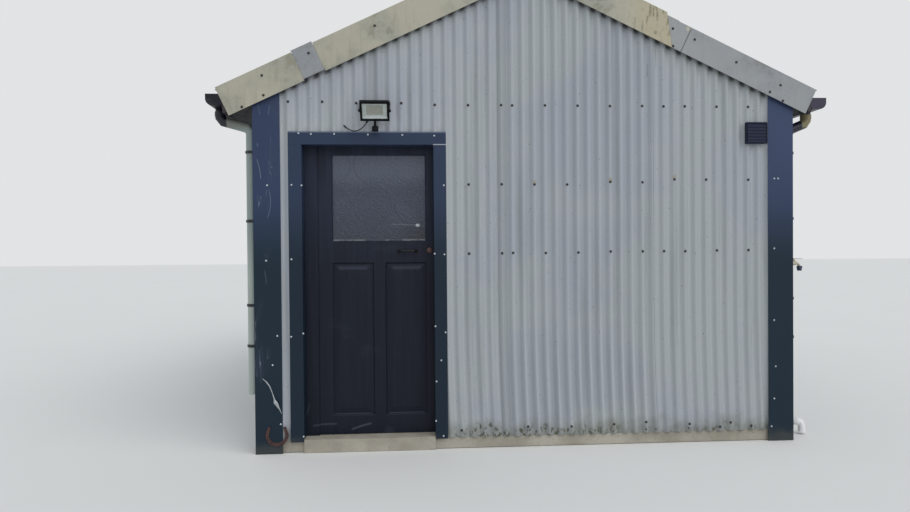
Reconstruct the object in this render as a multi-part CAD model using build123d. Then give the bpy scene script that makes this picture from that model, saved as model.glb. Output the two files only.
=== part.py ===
from build123d import *
import os
from math import cos, floor, radians, sin, tan

# A gabled hut clad in corrugated steel, with a part-glazed door in its front gable.
# Millimetres, +Z up. The ground is z = 0, the origin is the centre of the hut's footprint,
# and the front gable faces -Y.

os.makedirs("parts", exist_ok=True)

# Overall form
hut_width = 3760.0  # across the crests of the side claddings
hut_length = 4880.0  # across the crests of the gable claddings
wall_core = 140.0  # studs, boards and inner lining together
eave_height = 2392.0  # underside of the roof deck at the outer face of the wall core
pitch = radians(25.3)
deck_thick = 155.0  # rafters, boards and ceiling together, square to the slope
verge_out = 28.0  # roof deck past the crests of the gable claddings
eave_left = 190.0  # fascia face past the crests of the side cladding
eave_right = 120.0

# Foot of the hut
slab_top = 90.0
cladding_foot = 78.0

# Corrugated sheets
sheet_pitch = 76.2
sheet_depth = 18.0
sheet_metal = 2.0
crest_flat = 17.0  # width of the nearly flat stretch along each crest and valley
front_crest = 33.2  # x of one crest of the front cladding
roof_lip = 45.0  # roof sheets past the fascia, over the gutter
ridge_gap = 30.0  # roof sheets stop this far short of the ridge

# Folded flashings
flashing = 2.0
corner_leg = 183.0
ridge_leg = 180.0
ridge_overhang = 8.0
barge_drop = 30.0  # barge face below the underside of the deck
barge_leg = 120.0  # flange that lies on the roof sheets
barge_joint = 2.0  # open joint between two lengths of barge
barge_end_lift = 68.0  # height on the barge where its square end crosses the fascia face
left_joint_low = 1700.0  # along the slope from the ridge
left_joint_high = 1546.0
left_patch_shift = 11.0  # the grey patch sits this much higher than its neighbours
right_cut_top = 984.0  # slanting end of the cream length on the right
right_cut_foot = 1120.0
right_joint_low = 1184.0
grey_face = 186.0  # face of the grey lengths on the right

# Door
door_centre = -1043.0
leaf_width = 864.0
leaf_height = 2083.0
leaf_thick = 44.0
leaf_gap = 5.0
lock_gap = 7.0  # wider, because the lock edge swings past its own line
leaf_recess = 110.0  # front of the leaf behind the crests of the front cladding
stile = 110.0
mullion = 90.0
top_rail = 142.0
lock_rail = 158.0
bottom_rail = 133.0
light_height = 596.0
glass_thick = 6.0
panel_thick = 14.0
panel_field = 40.0  # sloping border of each raised panel
panel_rise = 8.0
groove = 9.0  # how far glass and panels reach into the frame of the leaf
groove_play = 0.3
moulding = 7.0

# Door frame and the folded trim round it
jamb = 77.0
stop_thick = 10.0
stop_lap = 10.0
cover_right = 53.0  # the trim hides this much of the leaf on the lock side
cover_top = 85.0
trim_left = 90.0
trim_right = 85.0
trim_head = 88.0
trim_foot = 75.0
trim_joint = 0.5

# Door furniture
hinge_height = 100.0
hinge_leaf = 2.0
hinge_depth = 30.0
hinge_inset = 200.0
knuckle_r = 6.0
pin_r = 3.0
pin_play = 0.3
pull_height = 1367.0
pull_centre = -846.5
pull_span = 125.0
pull_reach = 42.0
pull_r = 7.0
pull_bend = 17.5
rose_r = 13.0
rose_thick = 4.0
lock_height = 1371.0
lock_backset = 82.0
lock_ring_r = 18.5
lock_ring = 8.0
lock_barrel_r = 16.0
lock_hole_play = 0.5
latch_width = 108.0  # latch case on the inner face of the leaf
latch_depth = 30.0
latch_height = 66.0
keep_width = 28.0
keep_depth = 24.0
keep_height = 60.0

# Gutters and downpipes
fascia_thick = 20.0
fascia_drop = 3.0
gutter_width = 112.0
gutter_depth = 78.0
gutter_wall = 3.0
gutter_rim = 2425.0
gutter_bead = 9.0  # square rolled lip along the outer rim
gutter_front_r = 46.0
gutter_back_r = 22.0
gutter_end_gap = 1.0  # gutter ends behind the barges
gutter_union_y = 30.0
gutter_union = 70.0
gutter_joint = 0.6
outlet_back = 130.0  # outlet behind the crests of the front cladding
outlet_r = 33.0
outlet_wall = 3.0
outlet_foot = 2312.0
pipe_r = 34.0
pipe_wall = 3.0
pipe_stand = 4.0  # pipe off the corner flashing
pipe_foot = 385.0
pipe_bend = 30.0
swan_top = 2275.0
swan_low = 2219.0
socket_wall = 3.5
socket_top = 2334.0
socket_foot = 2302.0
clip_heights = (2056.0, 1581.0, 1001.0, 720.0)
clip_band = 3.0
clip_high = 18.0
clip_plate = 62.0
clip_sides = 8

# Floodlight over the door
lamp_centre = -1057.0
lamp_width = 195.0
lamp_height = 144.0
lamp_thick = 24.0
lamp_over_trim = 169.0  # upper front edge of the lamp above the trim over the door
lamp_reach = 150.0
lamp_tilt = 41.0  # degrees from upright, face down
lamp_rim = 15.0
lamp_glass = 4.0
lamp_sunk = 2.0  # glass behind the rim
fin_count = 7
fin_height = 12.0
fin_thick = 4.0
bracket_steel = 3.0
bracket_width = 26.0
bracket_play = 1.0
bracket_over_lamp = 34.0
knob_r = 9.0
knob_thick = 7.0
sensor_r = 22.0
sensor_high = 36.0
sensor_neck_r = 8.5
sensor_neck = 37.0
sensor_shoulder = 8.0
gland_r = 7.0
gland_long = 18.0

# Flex from the floodlight to the wall: x, distance in front of the crests, height
flex_r = 3.75
flex_points = [
    (-1114.5, 46.0, 2234.0),
    (-1127.0, 45.0, 2213.0),
    (-1158.0, 41.0, 2187.0),
    (-1195.0, 34.0, 2176.0),
    (-1231.0, 21.0, 2187.0),
    (-1256.0, 5.0, 2209.0),
]
flex_entry_r = 6.0
flex_entry_long = 40.0
flex_turn_share = 0.45  # of the shorter neighbouring run, taken up by each bend

# Vent, tap, waste pipe and horseshoe
vent_left = 1532.0
vent_below_eave = 140.0
vent_width = 150.0
vent_height = 150.0
vent_depth = 26.0
vent_rim = 14.0
vent_wall = 3.0
louvre_count = 5
louvre_thick = 3.0
tap_back = 70.0
tap_height = 1259.0
tap_spout_out = 89.0  # centre of the spout off the corner flashing
tap_drop = 22.0
tap_bend = 18.0
tap_valve_across = 30.0
tap_valve_out = 30.0
tap_valve_long = 28.0
tap_spout_r = 9.0
tap_flange_r = 22.0
tap_flange = 6.0
tap_stem_out = 50.0
tap_stem_across = 10.0
lever_height = 1286.0
lever_long = 64.0
lever_width = 14.0
lever_thick = 6.0
union_across = 36.0
union_nut = 20.0
union_high = 34.0
union_sleeve_r = 15.0
waste_back = 150.0
waste_height = 96.0
waste_reach = 151.0
waste_foot = 14.0
waste_r = 25.0
waste_wall = 3.0
waste_bend = 42.0
waste_socket = 3.0
waste_socket_long = 30.0
shoe_centre = -1737.0
shoe_foot = 54.0
shoe_width = 155.0
shoe_height = 130.0
shoe_web = 22.0
shoe_thick = 9.0
shoe_heel_gap = 84.0
nail_hole = 7.0

# Levels and faces that follow from these sizes
slope = tan(pitch)
front = -hut_length / 2
back = hut_length / 2
side = hut_width / 2
skin = sheet_depth + sheet_metal
core_x = side - skin
core_front = front + skin
core_back = back - skin
room_x = core_x - wall_core
room_front = core_front + wall_core
room_back = core_back - wall_core
verge_front = front - verge_out
verge_back = back + verge_out

leaf_left = door_centre - leaf_width / 2
leaf_right = door_centre + leaf_width / 2
leaf_foot = slab_top + leaf_gap
leaf_top = leaf_foot + leaf_height
leaf_front = front + leaf_recess
leaf_back = leaf_front + leaf_thick
frame_front = leaf_front - leaf_gap - stop_thick
reveal_left = leaf_left - leaf_gap - jamb
reveal_right = leaf_right - cover_right
reveal_top = leaf_top - cover_top
trim_face = front - flashing
trim_back = leaf_front - leaf_gap
rough_left = reveal_left - flashing
rough_right = leaf_right + lock_gap + jamb
rough_top = leaf_top + leaf_gap + jamb
lamp_top = reveal_top + trim_head + lamp_over_trim
bracket_top = lamp_top + bracket_over_lamp
vent_foot = eave_height - vent_below_eave - vent_height


def deck_under(x):
    """Height of the underside of the roof deck at x."""
    return eave_height + (core_x - abs(x)) * slope


def deck_over(x):
    """Height of the top of the roof deck at x."""
    return deck_under(x) + deck_thick / cos(pitch)


def on_roof(hand, along, lift):
    """x and z of a point so far down the slope from the ridge, so high above the deck's underside."""
    x = along * cos(pitch) + lift * sin(pitch)
    z = deck_under(0) - along * sin(pitch) + lift * cos(pitch)
    return hand * x, z


def block(x0, x1, y0, y1, z0, z1):
    """Box between two corners."""
    size = Box(x1 - x0, y1 - y0, z1 - z0, align=(Align.MIN, Align.MIN, Align.MIN))
    return Pos(x0, y0, z0) * size


def along_y(points, y0, y1):
    """Prism with an outline in x and z, from y0 to y1."""
    face = make_face(Polyline(*[(x, y0, z) for x, z in points], close=True))
    return extrude(face, amount=y1 - y0, dir=(0, 1, 0))


def along_z(points, z0, z1):
    """Prism with an outline in x and y, from z0 to z1."""
    face = make_face(Polyline(*[(x, y, z0) for x, y in points], close=True))
    return extrude(face, amount=z1 - z0, dir=(0, 0, 1))


def rod(start, end, radius):
    """Round bar between two points."""
    axis = Vector(*end) - Vector(*start)
    plane = Plane(origin=start, z_dir=axis)
    return extrude(plane * Circle(radius), amount=axis.length)


def swept(path, section, pieces):
    """A section carried along a path, with each of its arcs taken in so many straight mitred pieces."""
    points = [path @ 0]
    for run in path.edges():
        count = 1 if run.geom_type == GeomType.LINE else pieces
        points += [run @ (n / count) for n in range(1, count + 1)]
    mitred = Polyline(*points)
    start = Plane(origin=mitred @ 0, z_dir=mitred % 0)
    return sweep(start * section, mitred, transition=Transition.RIGHT)


def mirror_for(hand, shape):
    """The shape itself on the right, its mirror image on the left."""
    return shape if hand > 0 else mirror(shape, about=Plane.YZ)


def save(shape, name):
    """Write one node and print what it holds."""
    solids = shape.solids()
    print(name, len(solids), "solids", round(sum(s.volume for s in solids) / 1e6, 3), "litres")
    export_step(Compound(children=list(solids)) if len(solids) > 1 else solids[0], f"parts/{name}.step")


def hex_bar(start, end, across):
    """Six-sided bar between two points, with its size across flats."""
    axis = Vector(*end) - Vector(*start)
    plane = Plane(origin=start, z_dir=axis)
    return extrude(plane * RegularPolygon(across / 2, 6, major_radius=False), amount=axis.length)


# Everything that stops under the roof deck is trimmed by this region.
trim_x = side + corner_leg
under_deck = along_y(
    [
        (-trim_x, 0),
        (trim_x, 0),
        (trim_x, deck_under(trim_x)),
        (0, deck_under(0)),
        (-trim_x, deck_under(trim_x)),
    ],
    verge_front,
    verge_back,
)


# Corrugated sheets

def sheet_rise(place, crest):
    """Height of the corrugation's inner face over its valleys, at a place along the sheet."""
    off_crest = abs((place - crest + sheet_pitch / 2) % sheet_pitch - sheet_pitch / 2)
    flank = (sheet_pitch - 2 * crest_flat) / 2
    share = (off_crest - crest_flat / 2) / flank
    return sheet_depth * (1 - min(max(share, 0), 1))


def sheet_outline(start, end, crest, filled):
    """Closed outline of a sheet from start to end: points along it and out from its back."""
    bends = [
        crest + n * sheet_pitch + bend
        for n in range(floor((start - crest) / sheet_pitch) - 1, floor((end - crest) / sheet_pitch) + 2)
        for bend in (
            -crest_flat / 2,
            crest_flat / 2,
            sheet_pitch / 2 - crest_flat / 2,
            sheet_pitch / 2 + crest_flat / 2,
        )
    ]
    places = [start] + [place for place in bends if start < place < end] + [end]
    outer = [(place, sheet_rise(place, crest) + sheet_metal) for place in places]
    if filled:
        return outer + [(end, 0), (start, 0)]
    inner = [(place, sheet_rise(place, crest)) for place in places]
    return outer + inner[::-1]


def front_cladding():
    """Sheets of the front gable, cut round the doorway and under the roof."""
    outline = sheet_outline(-core_x, core_x, front_crest, filled=False)
    sheet = along_z([(x, core_front - out) for x, out in outline], cladding_foot, deck_under(0))
    doorway = block(rough_left, reveal_right + flashing, trim_face, frame_front, 0, reveal_top + flashing)
    return (sheet & under_deck) - doorway


def back_cladding():
    """Sheets of the back gable, backed by the wall behind them."""
    outline = sheet_outline(-core_x, core_x, front_crest, filled=True)
    sheet = along_z([(x, core_back + out) for x, out in outline], cladding_foot, deck_under(0))
    return sheet & under_deck


def side_cladding(hand):
    """Sheets of one long side, backed by the wall behind them."""
    outline = sheet_outline(core_front, core_back, 0, filled=True)
    return along_z([(hand * (core_x + out), y) for y, out in outline], cladding_foot, deck_under(side))


def roof_sheets(hand, fascia_face):
    """Sheets of one roof slope, from the ridge cap to the gutter, backed by the deck under them."""
    outline = sheet_outline(verge_front, verge_back, 0, filled=True)
    end_x = fascia_face + roof_lip
    length = (end_x - deck_thick * sin(pitch)) / cos(pitch) - ridge_gap
    points = []
    for y, out in outline:
        x, z = on_roof(hand, ridge_gap, deck_thick + out)
        points.append((x, y, z))
    face = make_face(Polyline(*points, close=True))
    return extrude(face, amount=length, dir=(hand * cos(pitch), 0, -sin(pitch)))


save(front_cladding(), "front_cladding")
save(back_cladding(), "back_cladding")
save(Compound(children=[side_cladding(-1), side_cladding(1)]), "side_cladding")

# Slab, walls and roof deck

slab = block(-core_x, core_x, core_front, core_back, 0, slab_top)
save(slab, "floor_slab")

sill = block(reveal_left, reveal_right, front, core_front, 0, slab_top)
save(sill, "door_sill")


def gable_piece(x0, x1, foot, y0, y1):
    """Part of a gable wall between x0 and x1, cut to the roof's underside."""
    outline = [(x0, foot), (x1, foot), (x1, deck_under(x1))]
    if x0 < 0 < x1:
        outline.append((0, deck_under(0)))
    outline.append((x0, deck_under(x0)))
    return along_y(outline, y0, y1)


save(gable_piece(-room_x, rough_left, slab_top, core_front, room_front), "front_wall_left")
save(gable_piece(rough_left, rough_right, rough_top, core_front, room_front), "front_wall_over_door")
save(gable_piece(rough_right, room_x, slab_top, core_front, room_front), "front_wall_right")
save(gable_piece(-room_x, room_x, slab_top, room_back, core_back), "back_wall")
side_walls = []
for hand in (-1, 1):
    outline = [
        (hand * room_x, slab_top),
        (hand * core_x, slab_top),
        (hand * core_x, deck_under(core_x)),
        (hand * room_x, deck_under(room_x)),
    ]
    side_walls.append(along_y(outline, core_front, core_back))
save(Compound(children=side_walls), "side_walls")

fascias = []
sheets = []
for hand, eave, name in ((-1, eave_left, "roof_deck_left"), (1, eave_right, "roof_deck_right")):
    face = side + eave
    end = face - fascia_thick
    deck = [
        (0, deck_under(0)),
        (hand * end, deck_under(end)),
        (hand * end, deck_over(end)),
        (0, deck_over(0)),
    ]
    save(along_y(deck, verge_front, verge_back), name)
    foot = deck_under(end) - fascia_drop
    board = [
        (hand * end, foot),
        (hand * face, foot),
        (hand * face, deck_over(face)),
        (hand * end, deck_over(end)),
    ]
    fascias.append(along_y(board, verge_front, verge_back))
    sheets.append(roof_sheets(hand, face))
save(Compound(children=fascias), "fascia_boards")
save(Compound(children=sheets), "roof_sheets")


# Flashings

def corner_flashing(hand, gable_face, outward):
    """Folded corner cover: one leg on the gable, one on the long side, from the ground to the deck."""
    outer_x = side + flashing
    outer_y = gable_face + outward * flashing
    outline = [
        (outer_x, outer_y),
        (outer_x - corner_leg, outer_y),
        (outer_x - corner_leg, gable_face),
        (side, gable_face),
        (side, outer_y - outward * corner_leg),
        (outer_x, outer_y - outward * corner_leg),
    ]
    column = along_z([(hand * x, y) for x, y in outline], 0, deck_under(0))
    return column & under_deck


front_corners = [corner_flashing(hand, front, -1) for hand in (-1, 1)]
save(Compound(children=front_corners), "corner_flashings_front")
back_corners = [corner_flashing(hand, back, 1) for hand in (-1, 1)]
save(Compound(children=back_corners), "corner_flashings_back")

crest_lift = deck_thick + skin
cap_lift = crest_lift + flashing


def at_ridge(lift):
    """Distance down the slope at which a plumb cut over the ridge meets this height."""
    return -lift * tan(pitch)


def cut_at(cut, foot, top, lift):
    """Place along the slope at which a straight cut from foot to top meets this height."""
    return cut[0] + (cut[1] - cut[0]) * (lift - foot) / (top - foot)


def barge(hand, face_y, outward, high, low, foot, top, with_leg=True):
    """A length of barge flashing. high and low each give the place of its end at the foot and at the top."""
    corners = [(high[0], foot), (low[0], foot), (low[1], top), (high[1], top)]
    points = [on_roof(hand, along, lift) for along, lift in corners]
    faces = sorted((face_y, face_y + outward * flashing))
    shape = along_y(points, *faces)
    if with_leg:
        under = top - flashing
        ends = [
            (cut_at(high, foot, top, under), under),
            (cut_at(low, foot, top, under), under),
            (low[1], top),
            (high[1], top),
        ]
        leg_y = sorted((face_y + outward * flashing, face_y - outward * barge_leg))
        shape += along_y([on_roof(hand, along, lift) for along, lift in ends], *leg_y)
    return shape


def square(along):
    """Both ends of a cut that is square to the slope."""
    return along, along


def barge_end(eave):
    """Place along the slope of the square lower end, which crosses the fascia face."""
    return (side + eave - barge_end_lift * sin(pitch)) / cos(pitch)


plumb = (at_ridge(-barge_drop), at_ridge(cap_lift))
slant = (right_cut_foot, right_cut_top)
grey_top = grey_face - barge_drop
after_slant = (
    right_cut_foot + barge_joint,
    cut_at(slant, -barge_drop, cap_lift, grey_top) + barge_joint,
)

upper_left = barge(-1, verge_front, -1, plumb, square(left_joint_high), -barge_drop, cap_lift)
patch_high = square(left_joint_high + barge_joint)
patch_foot = left_patch_shift - barge_drop
patch_top = cap_lift + left_patch_shift
patch_left = barge(-1, verge_front, -1, patch_high, square(left_joint_low), patch_foot, patch_top)
eave_high = square(left_joint_low + barge_joint)
lower_left = barge(-1, verge_front, -1, eave_high, square(barge_end(eave_left)), -barge_drop, cap_lift)

upper_right = barge(1, verge_front, -1, plumb, slant, -barge_drop, cap_lift)
patch_right = barge(
    1, verge_front, -1, after_slant, square(right_joint_low), -barge_drop, grey_top, with_leg=False
)
grey_high = square(right_joint_low + barge_joint)
grey_low = square(barge_end(eave_right))
lower_right = barge(1, verge_front, -1, grey_high, grey_low, -barge_drop, grey_top, with_leg=False)
save(Compound(children=[upper_left, lower_left, upper_right]), "barge_cream")
save(Compound(children=[patch_left, patch_right, lower_right]), "barge_grey")

back_barges = []
for hand, eave in ((-1, eave_left), (1, eave_right)):
    ridge_end = (plumb[0] + barge_joint, plumb[1] + barge_joint)
    back_barges.append(
        barge(hand, verge_back, 1, ridge_end, square(barge_end(eave)), -barge_drop, cap_lift)
    )
save(Compound(children=back_barges), "barge_back")

ridge_outline = [
    (0, on_roof(1, at_ridge(cap_lift + flashing), cap_lift + flashing)[1]),
    on_roof(1, ridge_leg, cap_lift + flashing),
    on_roof(1, ridge_leg, cap_lift),
    (0, on_roof(1, at_ridge(cap_lift), cap_lift)[1]),
    on_roof(-1, ridge_leg, cap_lift),
    on_roof(-1, ridge_leg, cap_lift + flashing),
]
ridge_y = (verge_front - ridge_overhang, verge_back + ridge_overhang)
save(along_y(ridge_outline, *ridge_y), "ridge_cap")


# Door frame, its packers and the folded trim

def door_frame():
    """Jambs and head with a stop on the outside of the leaf."""
    whole = block(reveal_left, rough_right, frame_front, leaf_back, slab_top, rough_top)
    rebate = block(
        leaf_left - leaf_gap,
        leaf_right + lock_gap,
        frame_front + stop_thick,
        leaf_back,
        slab_top,
        leaf_top + leaf_gap,
    )
    clear = block(
        leaf_left + stop_lap, leaf_right - stop_lap, frame_front, leaf_back, slab_top, leaf_top - stop_lap
    )
    return whole - rebate - clear


save(door_frame(), "door_frame")

head_packer = block(
    rough_left, rough_right, core_front, frame_front, reveal_top + flashing, rough_top
)
lock_packer = block(
    reveal_right + flashing, rough_right, core_front, frame_front, slab_top, rough_top
)
save(head_packer + lock_packer, "reveal_packers")


def jamb_trim(face_from, face_to, return_from):
    """Folded cover: a face on the cladding and a return into the reveal."""
    top = reveal_top - trim_joint
    face = block(face_from, face_to, trim_face, front, trim_foot, top)
    into_reveal = block(return_from, return_from + flashing, trim_face, trim_back, slab_top, top)
    return face + into_reveal


left_trim = jamb_trim(reveal_left - trim_left, reveal_left, rough_left)
right_trim = jamb_trim(reveal_right, reveal_right + trim_right, reveal_right)
head_face = block(
    reveal_left - trim_left, reveal_right + trim_right, trim_face, front, reveal_top, reveal_top + trim_head
)
head_return = block(
    rough_left, reveal_right + flashing, trim_face, frame_front, reveal_top, reveal_top + flashing
)
head_return_back = block(
    leaf_left + stop_lap, reveal_right + flashing, frame_front, trim_back, reveal_top, reveal_top + flashing
)
save(Compound(children=[left_trim, right_trim, head_face + head_return + head_return_back]), "door_trim")


# Door leaf, its glass and raised panels

glass_x = (leaf_left + stile, leaf_right - stile)
glass_z = (leaf_top - top_rail - light_height, leaf_top - top_rail)
panel_z = (leaf_foot + bottom_rail, glass_z[0] - lock_rail)
panel_split = (door_centre - mullion / 2, door_centre + mullion / 2)
panel_xs = [(glass_x[0], panel_split[0]), (panel_split[1], glass_x[1])]
lights = [(glass_x, glass_z)] + [(panel_x, panel_z) for panel_x in panel_xs]
pane_y = leaf_front + (leaf_thick - glass_thick) / 2
panel_y = leaf_front + (leaf_thick - panel_thick) / 2
lock_x = leaf_right - lock_backset


def grown(span, by):
    """A span made longer by the same length at both ends."""
    return span[0] - by, span[1] + by


def door_leaf():
    """Stiles, rails and mullion, grooved for the glass and the panels and bored for the lock."""
    leaf = block(leaf_left, leaf_right, leaf_front, leaf_back, leaf_foot, leaf_top)
    for x, z in lights:
        leaf -= block(*x, leaf_front, leaf_back, *z)
        width = x[1] - x[0] + 2 * moulding
        height = z[1] - z[0] + 2 * moulding
        mouth = Plane(
            origin=((x[0] + x[1]) / 2, leaf_front, (z[0] + z[1]) / 2), x_dir=(1, 0, 0), z_dir=(0, 1, 0)
        )
        leaf -= extrude(mouth * Rectangle(width, height), amount=moulding, taper=45)
    glass_groove = grown((pane_y, pane_y + glass_thick), groove_play)
    reach = groove + groove_play
    leaf -= block(*grown(glass_x, reach), *glass_groove, *grown(glass_z, reach))
    panel_groove = grown((panel_y, panel_y + panel_thick), groove_play)
    for panel_x in panel_xs:
        leaf -= block(*grown(panel_x, reach), *panel_groove, *grown(panel_z, reach))
    bore_r = lock_barrel_r + lock_hole_play
    return leaf - rod((lock_x, leaf_front, lock_height), (lock_x, leaf_back, lock_height), bore_r)


def raised_panel(panel_x):
    """Panel with a raised field on both faces and a flat edge that sits in the groove."""
    panel = block(*grown(panel_x, groove), panel_y, panel_y + panel_thick, *grown(panel_z, groove))
    low_x, high_x = grown(panel_x, -moulding)
    low_z, high_z = grown(panel_z, -moulding)
    for y, out in ((panel_y, -panel_rise), (panel_y + panel_thick, panel_rise)):
        across = [(low_x, y), (high_x, y), (high_x - panel_field, y + out), (low_x + panel_field, y + out)]
        upright = [(y, low_z), (y, high_z), (y + out, high_z - panel_field), (y + out, low_z + panel_field)]
        face = make_face(Polyline(*[(low_x, y_point, z) for y_point, z in upright], close=True))
        panel += along_z(across, low_z, high_z) & extrude(face, amount=high_x - low_x, dir=(1, 0, 0))
    return panel


save(door_leaf(), "door_leaf")
save(Compound(children=[raised_panel(panel_x) for panel_x in panel_xs]), "door_panels")
pane = block(*grown(glass_x, groove), pane_y, pane_y + glass_thick, *grown(glass_z, groove))
save(pane, "door_glass")


# Hinges: the leaf turns about a pin behind its hinge edge

hinge_x = leaf_left - leaf_gap / 2
hinge_y = leaf_back + knuckle_r
third = hinge_height / 3


def hinge(foot):
    """Both halves of one butt hinge: the fixed half with its pin, and the half on the leaf."""
    plate_y = (leaf_back - hinge_depth, leaf_back - pin_play)
    fixed_x = (leaf_left - leaf_gap, leaf_left - leaf_gap + hinge_leaf)
    moving_x = (leaf_left - hinge_leaf, leaf_left)
    top = foot + hinge_height
    fixed = block(*fixed_x, *plate_y, foot, top)
    for low, high in ((foot, foot + third - pin_play), (top - third + pin_play, top)):
        fixed += block(*fixed_x, plate_y[1], hinge_y, low, high)
        fixed += rod((hinge_x, hinge_y, low), (hinge_x, hinge_y, high), knuckle_r)
    fixed += rod((hinge_x, hinge_y, foot), (hinge_x, hinge_y, top), pin_r)
    moving = block(*moving_x, *plate_y, foot, top)
    low, high = foot + third, top - third
    moving += block(*moving_x, plate_y[1], hinge_y, low, high)
    moving += rod((hinge_x, hinge_y, low), (hinge_x, hinge_y, high), knuckle_r)
    moving -= rod((hinge_x, hinge_y, foot), (hinge_x, hinge_y, top), pin_r + pin_play)
    return fixed, moving


hinge_feet = [
    leaf_foot + hinge_inset,
    (leaf_foot + leaf_top - hinge_height) / 2,
    leaf_top - hinge_inset - hinge_height,
]
hinges = [hinge(foot) for foot in hinge_feet]
save(Compound(children=[pair[0] for pair in hinges]), "hinges_frame_half")


# Pull handle, lock and its keep

def pull_handle():
    """Bowed bar on two roses."""
    ends = [pull_centre - pull_span / 2, pull_centre + pull_span / 2]
    out = leaf_front - pull_reach
    path = FilletPolyline(
        (ends[0], leaf_front, pull_height),
        (ends[0], out, pull_height),
        (ends[1], out, pull_height),
        (ends[1], leaf_front, pull_height),
        radius=pull_bend,
    )
    bar = swept(path, Circle(pull_r), 1)
    for x in ends:
        bar += rod((x, leaf_front, pull_height), (x, leaf_front - rose_thick, pull_height), rose_r)
    return bar


def door_lock():
    """Ring and barrel of the lock outside, with its latch case on the inner face of the leaf."""
    lock = rod((lock_x, leaf_front - lock_ring, lock_height), (lock_x, leaf_front, lock_height), lock_ring_r)
    lock += rod((lock_x, leaf_front, lock_height), (lock_x, leaf_back, lock_height), lock_barrel_r)
    low = lock_height - latch_height / 2
    lock += block(
        leaf_right - latch_width, leaf_right, leaf_back, leaf_back + latch_depth, low, low + latch_height
    )
    return lock


furniture = [pair[1] for pair in hinges] + [pull_handle(), door_lock()]
save(Compound(children=furniture), "door_furniture")
keep_x = leaf_right + lock_gap
keep_z = lock_height - keep_height / 2
keep = block(keep_x, keep_x + keep_width, leaf_back, leaf_back + keep_depth, keep_z, keep_z + keep_height)
save(keep, "latch_keep")


# Gutters and downpipes

pipe_x = side + flashing + pipe_stand + pipe_r
outlet_y = front + outlet_back


def gutter_run(face, inset, y0, y1):
    """Solid bar of the gutter's outline, made smaller all round by an inset, on the right."""
    width = gutter_width - 2 * inset
    outline = Pos(face + gutter_width / 2, gutter_rim - (gutter_depth - inset) / 2) * Rectangle(
        width, gutter_depth - inset
    )
    back_low = outline.vertices().group_by(Axis.Y)[0].sort_by(Axis.X)[0]
    outline = fillet(back_low, gutter_back_r - inset)
    front_low = outline.vertices().group_by(Axis.X)[-1].sort_by(Axis.Y)[0]
    outline = fillet(front_low, gutter_front_r - inset)
    plane = Plane(origin=(0, y0, 0), x_dir=(1, 0, 0), z_dir=(0, -1, 0))
    return extrude(plane * outline, amount=y1 - y0, dir=(0, 1, 0))


def gutter(face):
    """Two lengths of channel with a rolled lip, stop ends, a union over their joint and a round outlet."""
    start, end = verge_front + gutter_end_gap, verge_back - gutter_end_gap
    lip_x = (face + gutter_width - gutter_bead, face + gutter_width)
    lengths = []
    for y0, y1, hollow in (
        (start, gutter_union_y - gutter_joint / 2, (start + gutter_wall, gutter_union_y)),
        (gutter_union_y + gutter_joint / 2, end, (gutter_union_y, end - gutter_wall)),
    ):
        channel = gutter_run(face, 0, y0, y1) - gutter_run(face, gutter_wall, *hollow)
        lengths.append(channel + block(*lip_x, y0, y1, gutter_rim - gutter_bead, gutter_rim))
    centre = face + gutter_width / 2
    floor_z = gutter_rim - gutter_depth + gutter_wall
    lengths[0] += rod((centre, outlet_y, outlet_foot), (centre, outlet_y, floor_z), outlet_r)
    lengths[0] -= rod((centre, outlet_y, outlet_foot), (centre, outlet_y, floor_z), outlet_r - outlet_wall)
    sleeve_y = (gutter_union_y - gutter_union / 2, gutter_union_y, gutter_union_y + gutter_union / 2)
    sleeve = gutter_run(face, -gutter_wall, sleeve_y[0], sleeve_y[2])
    sleeve -= gutter_run(face, 0, sleeve_y[0], sleeve_y[1])
    sleeve -= gutter_run(face, -gutter_joint / 2, sleeve_y[1], sleeve_y[2])
    sleeve -= block(0, face, sleeve_y[0], sleeve_y[2], 0, gutter_rim)
    lengths[0] += sleeve
    return lengths


def pipe_clip(height):
    """Eight-sided band round the pipe with a plate against the corner flashing, on the right."""
    low = height - clip_high / 2
    plane = Plane(origin=(pipe_x, outlet_y, low)).rotated((0, 0, 180 / clip_sides))
    outline = RegularPolygon(pipe_r + clip_band, clip_sides, major_radius=False)
    band = extrude(plane * outline, amount=clip_high)
    plate = block(
        side + flashing,
        side + flashing + clip_band,
        outlet_y - clip_plate / 2,
        outlet_y + clip_plate / 2,
        low,
        low + clip_high,
    )
    return band + plate


def downpipe(face):
    """Pipe from the gutter's outlet, back to the wall and down, with a socket over the outlet."""
    centre = face + gutter_width / 2
    path = FilletPolyline(
        (centre, outlet_y, outlet_foot),
        (centre, outlet_y, swan_top),
        (pipe_x, outlet_y, swan_low),
        (pipe_x, outlet_y, pipe_foot),
        radius=pipe_bend,
    )
    shape = swept(path, Circle(pipe_r), 1)
    plane = Plane(origin=(centre, outlet_y, socket_foot))
    shape += extrude(plane * Circle(pipe_r + socket_wall), amount=socket_top - socket_foot)
    for height in clip_heights:
        shape += pipe_clip(height)
    shape -= swept(path, Circle(pipe_r - pipe_wall), 1)
    return shape - rod((centre, outlet_y, outlet_foot), (centre, outlet_y, socket_top), pipe_r)


eaves = ((-1, eave_left), (1, eave_right))
gutters = [mirror_for(hand, length) for hand, eave in eaves for length in gutter(side + eave)]
save(Compound(children=gutters), "gutters")


def waste_pipe():
    """Waste pipe out of the long side with an elbow that turns down."""
    x0 = side + flashing
    y = front + waste_back
    elbow_x = x0 + waste_reach
    path = FilletPolyline(
        (x0, y, waste_height), (elbow_x, y, waste_height), (elbow_x, y, waste_foot), radius=waste_bend
    )
    shape = swept(path, Circle(waste_r), 2)
    start = elbow_x - waste_bend - waste_socket_long
    end = start + waste_socket_long
    shape += rod((start, y, waste_height), (end, y, waste_height), waste_r + waste_socket)
    return shape - swept(path, Circle(waste_r - waste_wall), 2)


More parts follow.
